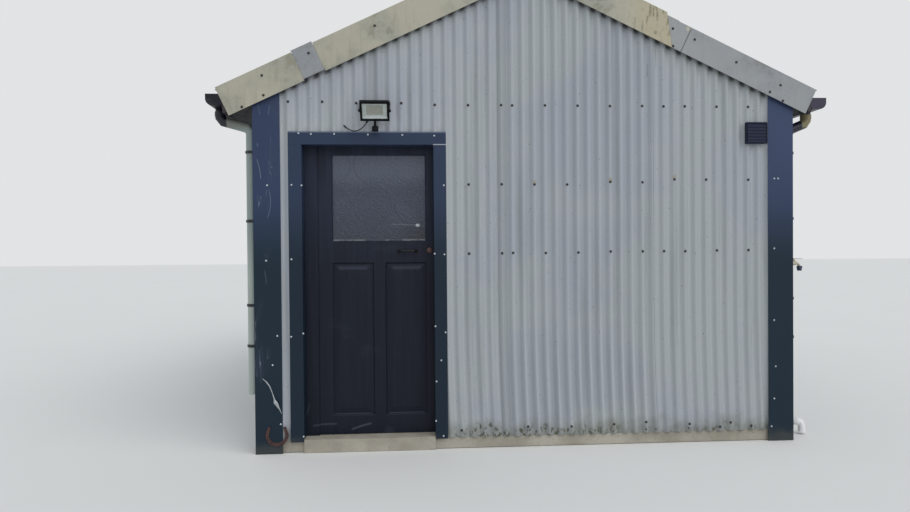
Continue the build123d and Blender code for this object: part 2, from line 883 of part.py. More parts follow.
drains = [mirror_for(hand, downpipe(side + eave)) for hand, eave in eaves] + [waste_pipe()]
save(Compound(children=drains), "drain_pipes")


# Floodlight: its own frame has x across, y up the face and z out of the face

lamp_frame = Plane(
    origin=(lamp_centre, front - lamp_reach, lamp_top),
    x_dir=(1, 0, 0),
    z_dir=(0, -cos(radians(lamp_tilt)), -sin(radians(lamp_tilt))),
)


def lamp_block(width, low, high, behind, ahead):
    """Box centred across the lamp, between distances below its upper front edge."""
    size = Box(width, high - low, behind - ahead, align=(Align.CENTER, Align.MAX, Align.MAX))
    return lamp_frame * Pos(0, -low, -ahead) * size


def lamp_point(across, below, behind):
    """A point given across the lamp, below its upper front edge and behind its face."""
    point = lamp_frame.from_local_coords((across, -below, -behind))
    return point.X, point.Y, point.Z


def lamp_housing():
    """Shallow tray with a rim round the glass, cooling fins behind and the flex gland below."""
    housing = lamp_block(lamp_width, 0, lamp_height, lamp_thick, 0)
    glass_width = lamp_width - 2 * lamp_rim
    housing -= lamp_block(glass_width, lamp_rim, lamp_height - lamp_rim, lamp_thick / 2, 0)
    spread = lamp_height - 4 * lamp_rim
    for n in range(fin_count):
        low = 2 * lamp_rim + n * spread / (fin_count - 1) - fin_thick / 2
        housing += lamp_block(glass_width, low, low + fin_thick, lamp_thick + fin_height, lamp_thick)
    return housing


def lamp_bracket():
    """Strap on the wall with an arm to each end of the lamp, and a clamp knob on each arm."""
    half = lamp_width / 2 + bracket_steel + bracket_play
    low = bracket_top - bracket_width
    strap = block(
        lamp_centre - half, lamp_centre + half, front - bracket_steel, front, low, bracket_top
    )
    pivot = lamp_point(0, lamp_height / 2, lamp_thick / 2)
    shape = strap
    for hand in (-1, 1):
        arm_x = sorted((lamp_centre + hand * half, lamp_centre + hand * (half - bracket_steel)))
        arm = [
            (front, low),
            (front, bracket_top),
            (front - bracket_width, bracket_top),
            (pivot[1] - knob_r, pivot[2] + knob_r),
            (pivot[1] - knob_r, pivot[2] - knob_r),
            (pivot[1] + knob_r, pivot[2] - knob_r),
        ]
        face = make_face(Polyline(*[(arm_x[0], y, z) for y, z in arm], close=True))
        shape += extrude(face, amount=arm_x[1] - arm_x[0], dir=(1, 0, 0))
        inner = lamp_centre + hand * lamp_width / 2
        outer = lamp_centre + hand * (half + knob_thick)
        shape += rod((inner, pivot[1], pivot[2]), (outer, pivot[1], pivot[2]), knob_r / 2)
        cap = lamp_centre + hand * half
        shape += rod((cap, pivot[1], pivot[2]), (outer, pivot[1], pivot[2]), knob_r)
    return shape


def lamp_sensor():
    """Movement sensor: a round head under a neck on the lower edge of the lamp."""
    neck_top = lamp_point(0, lamp_height, lamp_thick / 2)
    x, y, z = neck_top
    head_top = z - sensor_neck
    shape = rod((x, y, head_top), (x, y, z), sensor_neck_r)
    outline = [
        (0, head_top),
        (sensor_r - sensor_shoulder, head_top),
        (sensor_r, head_top - sensor_shoulder),
        (sensor_r, head_top - sensor_high),
        (0, head_top - sensor_high),
    ]
    face = make_face(Polyline(*[(x + r, y, h) for r, h in outline], close=True))
    head = revolve(face, axis=Axis((x, y, 0), (0, 0, 1)))
    return shape + head


save(lamp_housing() + lamp_sensor(), "floodlight_housing")
lens_back = lamp_sunk + lamp_glass
lens = lamp_block(lamp_width - 2 * lamp_rim, lamp_rim, lamp_height - lamp_rim, lens_back, lamp_sunk)
save(lens, "floodlight_glass")
save(lamp_bracket(), "floodlight_bracket")

flex_route = [(x, front - out, z) for x, out, z in flex_points]
radii = []
for before, corner, after in zip(flex_route, flex_route[1:], flex_route[2:]):
    first = Vector(*corner) - Vector(*before)
    second = Vector(*after) - Vector(*corner)
    turn = radians(first.get_angle(second))
    radii.append(flex_turn_share * min(first.length, second.length) / tan(turn / 2))
flex_path = FilletPolyline(*flex_route, radius=radii)
print("flex radii", [round(radius, 1) for radius in radii])
flex = sweep(Plane(origin=flex_path @ 0, z_dir=flex_path % 0) * Circle(flex_r), flex_path)
save(flex, "floodlight_flex")

# Gland on the lower edge of the lamp, and the grommet where the flex goes into the cladding
gland_dir = (Vector(*flex_route[0]) - Vector(*flex_route[1])).normalized()
gland_end = Vector(*flex_route[0]) + gland_dir * gland_long
gland = rod(flex_route[0], (gland_end.X, gland_end.Y, gland_end.Z), gland_r)
gland -= lamp_block(lamp_width, 0, lamp_height, lamp_thick, 0)
entry_dir = (Vector(*flex_route[-1]) - Vector(*flex_route[-2])).normalized()
entry_end = Vector(*flex_route[-1]) + entry_dir * flex_entry_long
entry = rod(flex_route[-1], (entry_end.X, entry_end.Y, entry_end.Z), flex_entry_r)
entry -= block(-side, 0, front, front + flex_entry_long, 0, deck_under(0))
save(Compound(children=[gland, entry]), "flex_glands")


# Vent, tap, waste pipe and horseshoe

def wall_vent():
    """Square louvred vent with a rim, on the crests of the cladding."""
    x1 = vent_left + vent_width
    z1 = vent_foot + vent_height
    y0 = front - vent_depth
    shape = block(vent_left, x1, y0, front, vent_foot, z1)
    shape -= block(
        vent_left + vent_rim, x1 - vent_rim, y0, front - vent_wall, vent_foot + vent_rim, z1 - vent_rim
    )
    clear = vent_height - 2 * vent_rim
    step = clear / louvre_count
    for n in range(louvre_count):
        top = z1 - vent_rim - n * step
        blade = [
            (front - vent_wall, top),
            (y0, top - step * 0.75),
            (y0, top - step * 0.75 - louvre_thick),
            (front - vent_wall, top - louvre_thick),
        ]
        face = make_face(Polyline(*[(vent_left + vent_rim, y, z) for y, z in blade], close=True))
        shape += extrude(face, amount=vent_width - 2 * vent_rim, dir=(1, 0, 0))
    return shape


def outside_tap():
    """Lever tap on the long side: flange, hexagonal valve, and a spout that turns down."""
    x0 = side + flashing
    y = front + tap_back
    spout_x = x0 + tap_spout_out
    stem_x = x0 + tap_stem_out
    shape = rod((x0, y, tap_height), (x0 + tap_flange, y, tap_height), tap_flange_r)
    path = FilletPolyline(
        (x0, y, tap_height),
        (spout_x, y, tap_height),
        (spout_x, y, tap_height - tap_drop),
        radius=tap_bend,
    )
    shape += swept(path, Circle(tap_spout_r), 1)
    valve = x0 + tap_valve_out
    shape += hex_bar((valve, y, tap_height), (valve + tap_valve_long, y, tap_height), tap_valve_across)
    shape += hex_bar((stem_x, y, tap_height), (stem_x, y, lever_height), tap_stem_across)
    lever_x = stem_x - lever_width / 2
    lever_y = y - lever_width / 2
    shape += block(
        lever_x,
        lever_x + lever_long,
        lever_y,
        lever_y + lever_width,
        lever_height,
        lever_height + lever_thick,
    )
    return shape


def hose_union():
    """Screwed nozzle under the spout of the tap: a union nut over a shorter sleeve."""
    x = side + flashing + tap_spout_out
    y = front + tap_back
    top = tap_height - tap_drop
    shape = hex_bar((x, y, top - union_nut), (x, y, top), union_across)
    return shape + rod((x, y, top - union_high), (x, y, top - union_nut), union_sleeve_r)


def horseshoe():
    """Flat shoe with its heels up, nail holes in both branches."""
    outer_r = shoe_width / 2
    y1 = front - flashing
    centre_z = shoe_foot + outer_r
    face = Plane(origin=(shoe_centre, y1, centre_z), x_dir=(1, 0, 0), z_dir=(0, -1, 0))
    heel = shoe_height - outer_r
    inner = outer_r - shoe_web
    narrow = shoe_heel_gap / 2
    outside = [
        Line((-outer_r, 0), (-narrow - shoe_web * 0.8, heel)),
        Line((-narrow - shoe_web * 0.8, heel), (-narrow, heel)),
        Line((-narrow, heel), (-inner, 0)),
        ThreePointArc((-inner, 0), (0, -inner), (inner, 0)),
        Line((inner, 0), (narrow, heel)),
        Line((narrow, heel), (narrow + shoe_web * 0.8, heel)),
        Line((narrow + shoe_web * 0.8, heel), (outer_r, 0)),
        ThreePointArc((outer_r, 0), (0, -outer_r), (-outer_r, 0)),
    ]
    shoe = make_face(outside)
    for hand in (-1, 1):
        for turn in (10, 32, 54):
            centre_r = outer_r - shoe_web / 2
            x = hand * centre_r * cos(radians(turn))
            z = -centre_r * sin(radians(turn))
            shoe -= Pos(x, z) * Rectangle(nail_hole, nail_hole)
    return extrude(face * shoe, amount=shoe_thick)


save(wall_vent(), "wall_vent")
save(outside_tap(), "outside_tap")
save(hose_union(), "tap_nozzle")
save(horseshoe(), "horseshoe")
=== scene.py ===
# %% [markdown]
# # A small gabled hut in corrugated steel
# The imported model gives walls, roof, door and fittings their true places in metres. This
# notebook dresses that model: real wavy sheets, screws, paint, glass, rust and dirt. It could
# also be modelled from nothing, but then each piece would have to be fitted by eye. Here the
# frame is loaded first, and every new piece is set on it by its measured place.

# %% Load the frame
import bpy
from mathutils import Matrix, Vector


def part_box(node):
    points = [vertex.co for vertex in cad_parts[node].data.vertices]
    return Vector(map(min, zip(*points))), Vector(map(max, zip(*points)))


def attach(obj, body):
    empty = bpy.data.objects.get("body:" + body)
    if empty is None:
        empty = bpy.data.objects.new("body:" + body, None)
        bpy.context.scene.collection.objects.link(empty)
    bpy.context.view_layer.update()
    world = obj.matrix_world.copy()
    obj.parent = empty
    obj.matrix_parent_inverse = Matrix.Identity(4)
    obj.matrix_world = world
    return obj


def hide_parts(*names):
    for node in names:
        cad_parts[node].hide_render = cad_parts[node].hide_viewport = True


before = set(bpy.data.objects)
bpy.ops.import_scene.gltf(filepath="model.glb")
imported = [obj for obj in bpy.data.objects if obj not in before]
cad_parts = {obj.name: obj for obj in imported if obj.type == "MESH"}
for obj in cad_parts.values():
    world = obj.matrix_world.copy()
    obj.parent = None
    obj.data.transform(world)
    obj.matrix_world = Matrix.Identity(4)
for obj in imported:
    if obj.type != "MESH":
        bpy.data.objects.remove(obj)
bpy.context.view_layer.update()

# %% [markdown]
# The rest of the tools come from Blender itself. A seeded random generator keeps the small
# accidents of a hand-built hut the same on every run.

# %% Modules
import math
import random

import bmesh
import bpy
from mathutils import Matrix, Vector

dice = random.Random(7)
scene = bpy.context.scene
print("Blender", bpy.app.version_string)

# %% [markdown]
# ## The camera
# The picture was taken by hand, a little left of the middle and turned slightly to the right.
# The camera could be turned by trial, but its place was worked out from the rows of screws, so
# its three axes are built from the measured yaw, tip and roll.

# %% Camera
camera_spot = Vector((-0.8129, -6.9981, 1.3802))
yaw, tip, roll = 0.0637495818, -0.0109500368, -0.00783363048

plumb = Vector((0, 0, 1))
level = Vector((math.sin(yaw), math.cos(yaw), 0))
across = Vector((math.cos(yaw), -math.sin(yaw), 0))
ahead = level * math.cos(tip) + plumb * math.sin(tip)
upward = plumb * math.cos(tip) - level * math.sin(tip)
camera_right = across * math.cos(roll) + upward * math.sin(roll)
camera_up = upward * math.cos(roll) - across * math.sin(roll)

lens = bpy.data.cameras.new("camera")
lens.sensor_width = 36
lens.lens = 26.31
camera = bpy.data.objects.new("camera", lens)
scene.collection.objects.link(camera)
turn = Matrix((camera_right, camera_up, -ahead)).transposed()
camera.matrix_world = Matrix.Translation(camera_spot) @ turn.to_4x4()
scene.camera = camera
print("camera looks along", [round(n, 3) for n in ahead])

# %% [markdown]
# ## The flex of the floodlight
# A short black cable leaves the bottom of the lamp, sags, and goes into the wall. It could be a
# bent pipe, but a real cable has no straight runs. So it is one smooth NURBS line whose control
# points follow the sag, with a round bevel for its thickness. The bevel is 1 m and each point's
# radius scales it down to the cable, which keeps the curve's own box true.

# %% Flex
flex_points = [
    (-1.1145, -2.486, 2.234),
    (-1.127, -2.485, 2.213),
    (-1.158, -2.481, 2.187),
    (-1.195, -2.474, 2.176),
    (-1.231, -2.461, 2.187),
    (-1.256, -2.445, 2.209),
]
flex_thick = 0.0075

flex_line = bpy.data.curves.new("flex_line", "CURVE")
flex_line.dimensions = "3D"
spline = flex_line.splines.new("NURBS")
spline.points.add(len(flex_points) - 1)
for point, place in zip(spline.points, flex_points):
    point.co = (*place, 1)
    point.radius = flex_thick / 2
spline.order_u = 3
spline.use_endpoint_u = True
spline.resolution_u = 12
flex_line.bevel_depth = 1.0
flex_line.bevel_resolution = 4
flex_line.use_fill_caps = True
flex = bpy.data.objects.new("flex", flex_line)
scene.collection.objects.link(flex)
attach(flex, "hut")
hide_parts("floodlight_flex")
print("flex control points:", len(flex_points))

# %% [markdown]
# ## Floor, light and sky
# The hut stood under an even white sky, a little brighter on the right. A strong small lamp
# could light it, but it would draw hard shadows between the waves of the sheets. A pale world
# with one weak sun, 65 degrees wide, gives the same soft shade. The camera, gloss and glass see
# a plain pale background of their own.

# %% World
world = bpy.data.worlds.new("sky")
scene.world = world
world.use_nodes = True
sky = world.node_tree
sky.nodes.clear()
sky_out = sky.nodes.new("ShaderNodeOutputWorld")
sky_mix = sky.nodes.new("ShaderNodeMixShader")
sky_path = sky.nodes.new("ShaderNodeLightPath")
sky_light = ((0.90, 0.95, 1.0, 1), 0.58)
sky_seen = ((0.76, 0.77, 0.78, 1), 1.0)
for entry, (colour, strength) in ((1, sky_light), (2, sky_seen)):
    glow = sky.nodes.new("ShaderNodeBackground")
    glow.inputs["Color"].default_value = colour
    glow.inputs["Strength"].default_value = strength
    sky.links.new(glow.outputs[0], sky_mix.inputs[entry])
seen = sky_path.outputs["Is Camera Ray"]
for ray in ("Is Glossy Ray", "Is Transmission Ray"):
    either = sky.nodes.new("ShaderNodeMath")
    either.operation = "MAXIMUM"
    sky.links.new(seen, either.inputs[0])
    sky.links.new(sky_path.outputs[ray], either.inputs[1])
    seen = either.outputs[0]
sky.links.new(seen, sky_mix.inputs["Fac"])
sky.links.new(sky_mix.outputs[0], sky_out.inputs["Surface"])
scene.view_settings.view_transform = "Standard"
print("sky strength", sky_light[1])

# %% Lamp
daylight = bpy.data.lights.new("daylight", "SUN")
daylight.energy = 1.35
daylight.angle = math.radians(65)
lamp = bpy.data.objects.new("daylight", daylight)
scene.collection.objects.link(lamp)
lamp.rotation_euler = Vector((-0.42, 0.75, -0.85)).to_track_quat("-Z", "Y").to_euler()
print("lamp energy", daylight.energy)

# %% [markdown]
# ## Finishes
# Every finish starts from one Principled shader. Dirt, streaks and wear are patterns mixed
# into its colour, and all of them read Object coordinates, so they keep their true size on the
# hut. A few small helpers keep each finish short to write: each patch goes over the colour so
# far, colours are written as screen colours of 0 to 255, and all finishes are kept by name.

# %% Helpers for finishes
finishes = {}


def tone(red, green, blue):
    """A screen colour of 0 to 255 as the linear colour that the shader wants."""
    return tuple(((c / 255 + 0.055) / 1.055) ** 2.4 if c > 10 else c / 3294 for c in (red, green, blue))


class Finish:
    """One procedural material: a Principled shader, its colour so far, and patterns for it."""

    def __init__(self, name, rough=0.5, metal=0, shine=0.5):
        finishes[name] = bpy.data.materials.new(name)
        finishes[name].use_nodes = True
        self.tree = finishes[name].node_tree
        self.shader = self.tree.nodes["Principled BSDF"]
        self.fill(self.shader, {"Roughness": rough, "Metallic": metal, "Specular IOR Level": shine})
        self.place = self.tree.nodes.new("ShaderNodeTexCoord").outputs["Object"]
        self.x, self.y, self.z = self.node("ShaderNodeSeparateXYZ", {0: self.place}).outputs

    def fill(self, node, values):
        """Set or link sockets of a node, each given by its name or number."""
        for key, value in values.items():
            if isinstance(value, bpy.types.NodeSocket):
                self.tree.links.new(value, node.inputs[key])
            elif node.inputs[key].type == "RGBA":
                node.inputs[key].default_value = (*tone(*value), 1)
            else:
                node.inputs[key].default_value = value

    def node(self, kind, values, **settings):
        """A new node with its settings, and with some sockets set or linked."""
        made = self.tree.nodes.new(kind)
        for key, setting in settings.items():
            setattr(made, key, setting)
        self.fill(made, values)
        return made

    def noise(self, scale, detail=3, stretch=(1, 1, 1), rough=0.55, twist=0):
        """Cloudy pattern, so many per metre, stretched where a direction's number is small."""
        mapped = self.node("ShaderNodeMapping", {"Vector": self.place, "Scale": stretch}).outputs[0]
        values = {"Vector": mapped, "Scale": scale, "Detail": detail, "Roughness": rough, "Distortion": twist}
        return self.node("ShaderNodeTexNoise", values).outputs["Fac"]

    def span(self, value, low, high, from_=0, to=1):
        """A value eased from low to high."""
        values = {"Value": value, 1: low, 2: high, 3: from_, 4: to}
        return self.node("ShaderNodeMapRange", values, interpolation_type="SMOOTHSTEP").outputs[0]

    def math(self, step, first, *others):
        """Arithmetic on one value, or on several in turn."""
        for other in others or (0,):
            first = self.node("ShaderNodeMath", {0: first, 1: other}, operation=step).outputs[0]
        return first

    def plus(self, *values):
        """The sum of values."""
        return self.math("ADD", *values)

    def minus(self, value, other):
        """A value less another."""
        return self.math("SUBTRACT", value, other)

    def times(self, first, *others):
        """The product of values."""
        return self.math("MULTIPLY", first, *others) if others else first

    def apart(self, value, other):
        """How far two values are apart."""
        return self.math("ABSOLUTE", self.minus(value, other))

    def blend(self, share, a, b):
        """Mix of two colours by a share."""
        return self.node("ShaderNodeMix", {0: share, 6: a, 7: b}, data_type="RGBA").outputs[2]

    def patch(self, stain, *shares):
        """Put a stain over part of the colour so far. The shares are multiplied."""
        self.colour = self.blend(self.times(*shares), self.colour, stain)

    def stroke(self, start, end, bow=0, wide=0.0012):
        """A thin mark, slightly bowed, between two (x, z) places on the front."""
        lies_flat = abs(end[0] - start[0]) > abs(end[1] - start[1])
        run, off = (self.x, self.z) if lies_flat else (self.z, self.x)
        a, b = (0, 1) if lies_flat else (1, 0)
        share = self.times(self.minus(run, start[a]), 1 / (end[a] - start[a]))
        curve = self.times(share, self.minus(1, share))
        line = self.plus(self.times(share, end[b] - start[b]), start[b], self.times(curve, 4 * bow))
        return self.times(self.span(self.apart(off, line), wide, wide * 0.2), self.span(curve, 0, 0.08))

    def spot(self, x, z, radius, squeeze=1):
        """A round mark on the front that fades outwards."""
        side = self.times(self.minus(self.x, x), squeeze)
        rise = self.minus(self.z, z)
        away = self.math("SQRT", self.plus(self.times(side, side), self.times(rise, rise)))
        return self.span(away, radius, radius * 0.3)

    def done(self, rough=None, bump=None, depth=0.001):
        """Link the colour, and roughness and relief where the finish has them."""
        self.fill(self.shader, {"Base Color": self.colour})
        if rough is not None:
            self.fill(self.shader, {"Roughness": rough})
        if bump is not None:
            relief = self.node("ShaderNodeBump", {"Height": bump, "Distance": depth})
            self.fill(self.shader, {"Normal": relief.outputs[0]})


print("mid grey as linear:", [round(c, 3) for c in tone(128, 128, 128)])

# %% [markdown]
# ## Weathered sheet paint
# The cladding was painted pale grey-green and has faded in long upright streaks. Grime and
# painted shade darken the valleys, the crests are washed paler and carry a painted highlight,
# moss and soil splash climb the lowest hand's breadth, and a few stretches have turned lilac. A
# flat colour would lose all of that. So a cosine with the pitch of the waves tells crest from
# valley, noise stretched along the height makes the streaks, and the height itself drives the soil.
#
# The gables need more. Their waves lean to one side near the foot, so the pattern leans with
# them. The middle sheet has more grime and painted shade in its valleys, and the outer ones get
# paler valleys by painted light. The laps show as fine painted shadow lines, and under the
# barges each valley opens a gap that is darkened by painted shade.

# %% Marks of the gables
wave = 0.0762
pitch = math.radians(25.3)
lean_top, lean_rate = 1.10, 0.024
gap_start, gap_full = 3.216, 3.246
lap_wide = 0.060
rust_halos = ((0.033, 1.836), (0.567, 1.852), (1.024, 1.872))
hairs = (((0.897, 2.762), (0.900, 2.642)), ((0.837, 2.668), (0.834, 2.571)))
foot_blot = (1.303, 0.088)


def gable_shade(paint, height, valley, middle):
    """Painted light that makes the valleys of the outer sheets paler, and painted shade in the gaps under the
    barges.
    """
    # Painted light: paler valleys on the two outer sheets.
    paint.patch((180, 184, 188), valley, paint.minus(1, middle), 0.35)
    slope = paint.times(paint.math("ABSOLUTE", paint.x), math.tan(pitch))
    under_barge = paint.span(paint.plus(paint.z, slope), gap_start, gap_full)
    # Painted shade in the gap between each valley and the barge.
    paint.patch((34, 36, 42), under_barge, paint.span(height, 0.8, 0.1, 0.3, 1), 0.85)


def gable_marks(paint, place, laps, streak_and_shade):
    """On the front only: painted shadow lines at the laps, painted shade over one lap, rust round screws,
    hairs and a blot.
    """
    front = paint.span(paint.y, 0.1, -0.1)
    # Painted shadow lines along the lap edges.
    for edge, share in ((laps[0], 0.3), (laps[0] + lap_wide, 0.4), (laps[1], 0.6)):
        paint.patch((96, 100, 98), paint.span(paint.apart(place, edge), 0.0028, 0.001), front, share)
    # Painted shade over the first lap.
    first = paint.minus(place, laps[0])
    shade = (paint.span(first, -0.004, 0.002), paint.span(first, lap_wide + 0.004, lap_wide - 0.002))
    paint.patch(streak_and_shade, *shade, front, 0.38)
    for x, z in rust_halos:
        paint.patch((146, 132, 84), paint.spot(x, z, 0.020), front, 0.5)
    for start, end in hairs:
        paint.patch((90, 92, 92), paint.stroke(start, end, 0.002, 0.003), front, 0.6)
    paint.patch((50, 40, 34), paint.spot(*foot_blot, 0.022), front, 0.85)


print("marks of the front:", len(rust_halos) + len(hairs) + 1)

# %% Sheet paint


def soiled_foot(paint, height):
    """Soil splashed up the foot of a sheet, and moss where it stays wet."""
    low = paint.plus(paint.z, paint.times(paint.noise(9, 5), -0.22))
    paint.patch((104, 104, 88), paint.span(low, 0.12, -0.03), 0.5)
    wet = paint.times(paint.span(paint.x, -0.75, -0.3), paint.span(paint.x, 0.75, 0.2))
    growth = paint.plus(paint.times(wet, 0.035), paint.times(height, -0.02))
    moss = paint.span(paint.minus(low, growth), 0.03, -0.02)
    clumps = paint.span(paint.noise(46, 4, (1, 1, 0.6)), 0.51, 0.6)
    paint.patch((66, 68, 46), moss, paint.span(wet, 0, 1, 0.4, 0.85), clumps)


def sheet_paint(name, axis, crest, base, cool, streak_and_shade, soil=True, laps=()):
    """Faded paint: crests paler with a painted highlight, valleys with grime and painted shade, streaks, a
    dirty foot.
    """
    paint = Finish(name, rough=0.55, shine=0.35)
    place = {"x": paint.x, "y": paint.y}[axis]
    strength = 1
    if laps:
        under = paint.math("MAXIMUM", paint.minus(lean_top, paint.z), 0)
        place = paint.minus(place, paint.times(under, under, lean_rate))
        edges = [paint.span(place, lap, lap + ease) for lap, ease in zip(laps, (0.01, -0.01))]
        middle = paint.times(*edges)
        # The share of grime, painted shade and painted highlight on the waves: full on the middle sheet and
        # more low down, less on the outer sheets.
        strength = paint.plus(paint.times(middle, paint.span(paint.z, 1.1, 0.5, 0.6, 1.5)), 0.3)
    turns = paint.times(paint.minus(place, crest), math.tau / wave)
    height = paint.plus(paint.times(paint.math("COSINE", turns), 0.5), 0.5)
    valley = paint.span(height, 0.75, 0.05)
    streaks = paint.noise(9, 4, (1, 1, 0.06))
    clouds = paint.noise(1.3)
    paint.colour = paint.blend(paint.span(clouds, 0.42, 0.62), base, cool)
    # Grime and painted shade in the valleys.
    paint.patch(streak_and_shade, valley, paint.span(clouds, 0.1, 0.9, 0.02, 0.24), strength)
    if laps:
        gable_shade(paint, height, valley, middle)
    # Crests washed paler, with a painted highlight along them.
    crest_wash_and_highlight = (paint.span(height, 0.86, 1), paint.span(streaks, 0.2, 0.8, 0, 0.35))
    paint.patch((190, 194, 196), *crest_wash_and_highlight, strength)
    paint.patch(streak_and_shade, paint.span(streaks, 0.5, 0.78), 0.5)
    face = paint.node("ShaderNodeCombineXYZ", {"X": place, "Y": paint.z}).outputs[0]
    for scale, radius in ((3.2, 0.014), (5, 0.017), (9, 0.020)):
        dots = paint.node("ShaderNodeTexVoronoi", {"Vector": face, "Scale": scale}, voronoi_dimensions="2D")
        paint.patch((72, 72, 68), paint.span(dots.outputs["Distance"], radius, radius * 0.4), 0.85)
    if laps:
        gable_marks(paint, place, laps, streak_and_shade)
    if soil:
        soiled_foot(paint, height)
    paint.done(paint.span(clouds, 0.3, 0.7, 0.45, 0.68), paint.noise(160, 2), 0.0004)


front_crest = 0.0332
middle_sheet = (-0.2205, 0.8735)
sheet_colours = ((163, 168, 170), (159, 163, 172), (130, 136, 136))
roof_colours = ((142, 149, 152), (134, 140, 149), (104, 106, 100))
sheet_paint("gable_paint", "x", front_crest, *sheet_colours, laps=middle_sheet)
sheet_paint("side_paint", "y", 0, *sheet_colours)
sheet_paint("roof_paint", "y", 0, *roof_colours, soil=False)
print("sheet paints:", *finishes)

# %% [markdown]
# ## Folded flashings
# Slate-blue covers close the corners and frame the doorway. They are smooth, catch a dull sky
# glow, and carry fine upright scratches and grey dust toward the ground. Most scratches are a
# noise squeezed into thin lines, because nobody drew them. Only the longest on the left corner
# are strokes with their own measured places.

# %% Flashing paint
trim_joint_z = 2.094


def flashing_paint(name, top, foot, edge=False, marks=()):
    """Folded sheet that is paler at the top, with dust, scratches and a soiled foot."""
    paint = Finish(name, rough=0.45, shine=0.2)
    paint.colour = paint.blend(paint.span(paint.z, 1.80, 1.25), top, foot)
    paint.patch((62, 76, 108), paint.span(paint.x, 1.5, 1.7), paint.span(paint.z, 1.5, 2.2), 0.5)
    wear = paint.noise(3, 5, (1, 1, 0.35))
    paint.patch((58, 66, 84), paint.span(wear, 0.55, 0.72), 0.4)
    lines = paint.noise(26, 1, (1, 1, 0.09), twist=0.6)
    scratch = (paint.span(paint.apart(lines, 0.5), 0.005, 0), paint.span(wear, 0.54, 0.66))
    paint.patch((150, 158, 168), *scratch, paint.span(paint.x, -1.72, -1.78, 0.18, 0.6))
    for mark in marks:
        paint.patch((140, 150, 162), paint.stroke(*mark), paint.span(wear, 0.3, 0.6, 0.2, 0.6))
    low = paint.plus(paint.z, paint.times(paint.noise(8, 4), -0.16))
    paint.patch((96, 94, 84), paint.span(low, 0.04, -0.06), 0.32)
    if edge:
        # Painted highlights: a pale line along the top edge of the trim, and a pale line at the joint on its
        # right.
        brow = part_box("door_trim")[1].z
        paint.patch((108, 118, 136), paint.span(paint.z, brow - 0.010, brow - 0.006, 0, 0.7))
        joint = paint.span(paint.apart(paint.z, trim_joint_z), 0.0035, 0.002)
        paint.patch((176, 180, 186), joint, paint.span(paint.x, -0.668, -0.664))
    paint.done(paint.span(wear, 0.35, 0.7, 0.34, 0.56), paint.noise(120, 2), 0.0003)


corner_marks = [
    ((-1.828, 2.288), (-1.842, 2.362), 0, 0.0020), ((-1.773, 2.289), (-1.766, 2.357), 0, 0.0016),
    ((-1.828, 1.855), (-1.8555, 1.998), 0.006, 0.0030), ((-1.792, 1.588), (-1.778, 1.795), 0.020, 0.0018),
    ((-1.847, 2.079), (-1.850, 2.101), 0, 0.0040), ((-1.800, 1.150), (-1.812, 1.245), 0.004, 0.0014),
]
flashing_paint("blue_flashing", (50, 62, 90), (25, 41, 54), marks=corner_marks)
flashing_paint("door_trim_paint", (45, 57, 80), (25, 39, 52), edge=True)
print("measured scratches:", len(corner_marks))

# %% [markdown]
# ## Barges and ridge
# The gable edges are capped by folded lengths of cream sheet, patched with grey ones where the
# old ones rusted away. Green-brown stains gather near the joints and edges. The stain is the
# product of a wide cloud and a fine one, which gives soft islands with ragged borders.

# %% Barge paint


def barge_paint(name, base, pale, stain, amount, joint=None, seam=None):
    """Aged cream or grey sheet with stains in ragged islands."""
    paint = Finish(name)
    broad = paint.noise(2.2)
    fine = paint.noise(22, 6, rough=0.7)
    paint.colour = paint.blend(paint.span(broad, 0.4, 0.65), base, pale)
    paint.patch(stain, paint.span(broad, 0.45, 0.62), paint.span(fine, 0.46, 0.6), amount)
    paint.patch(stain, paint.span(paint.noise(30, 4, (1, 1, 0.12)), 0.52, 0.72), 0.2)
    if joint:
        nearby = paint.span(paint.apart(paint.x, joint), 0.28, 0.04)
        paint.patch((176, 160, 118), nearby, 0.35)
        blots = paint.span(paint.noise(40, 5, (1, 1, 0.3)), 0.52, 0.64)
        paint.patch((92, 90, 62), blots, nearby, 0.7)
    if seam:
        (x, z), foot = seam
        paint.patch((190, 184, 160), paint.spot(x - 0.026, z - 0.006, 0.024, 1.5), 0.75)
        paint.patch((64, 62, 60), paint.stroke((x, z), foot, 0, 0.007), 0.8)
    paint.patch((108, 96, 70), paint.span(paint.noise(140, 2), 0.64, 0.72), 0.5)
    paint.done(paint.span(fine, 0.3, 0.7, 0.42, 0.62), fine, 0.0005)


cream_colours = ((171, 167, 150), (151, 151, 139), (116, 110, 86))
grey_colours = ((147, 150, 152), (136, 140, 146), (112, 106, 90))
barge_paint("cream_barge", *cream_colours, 0.45, joint=0.90)
barge_paint("grey_barge", *grey_colours, 0.35, seam=((1.138, 2.902), (1.058, 2.733)))
print("finishes so far:", len(finishes))
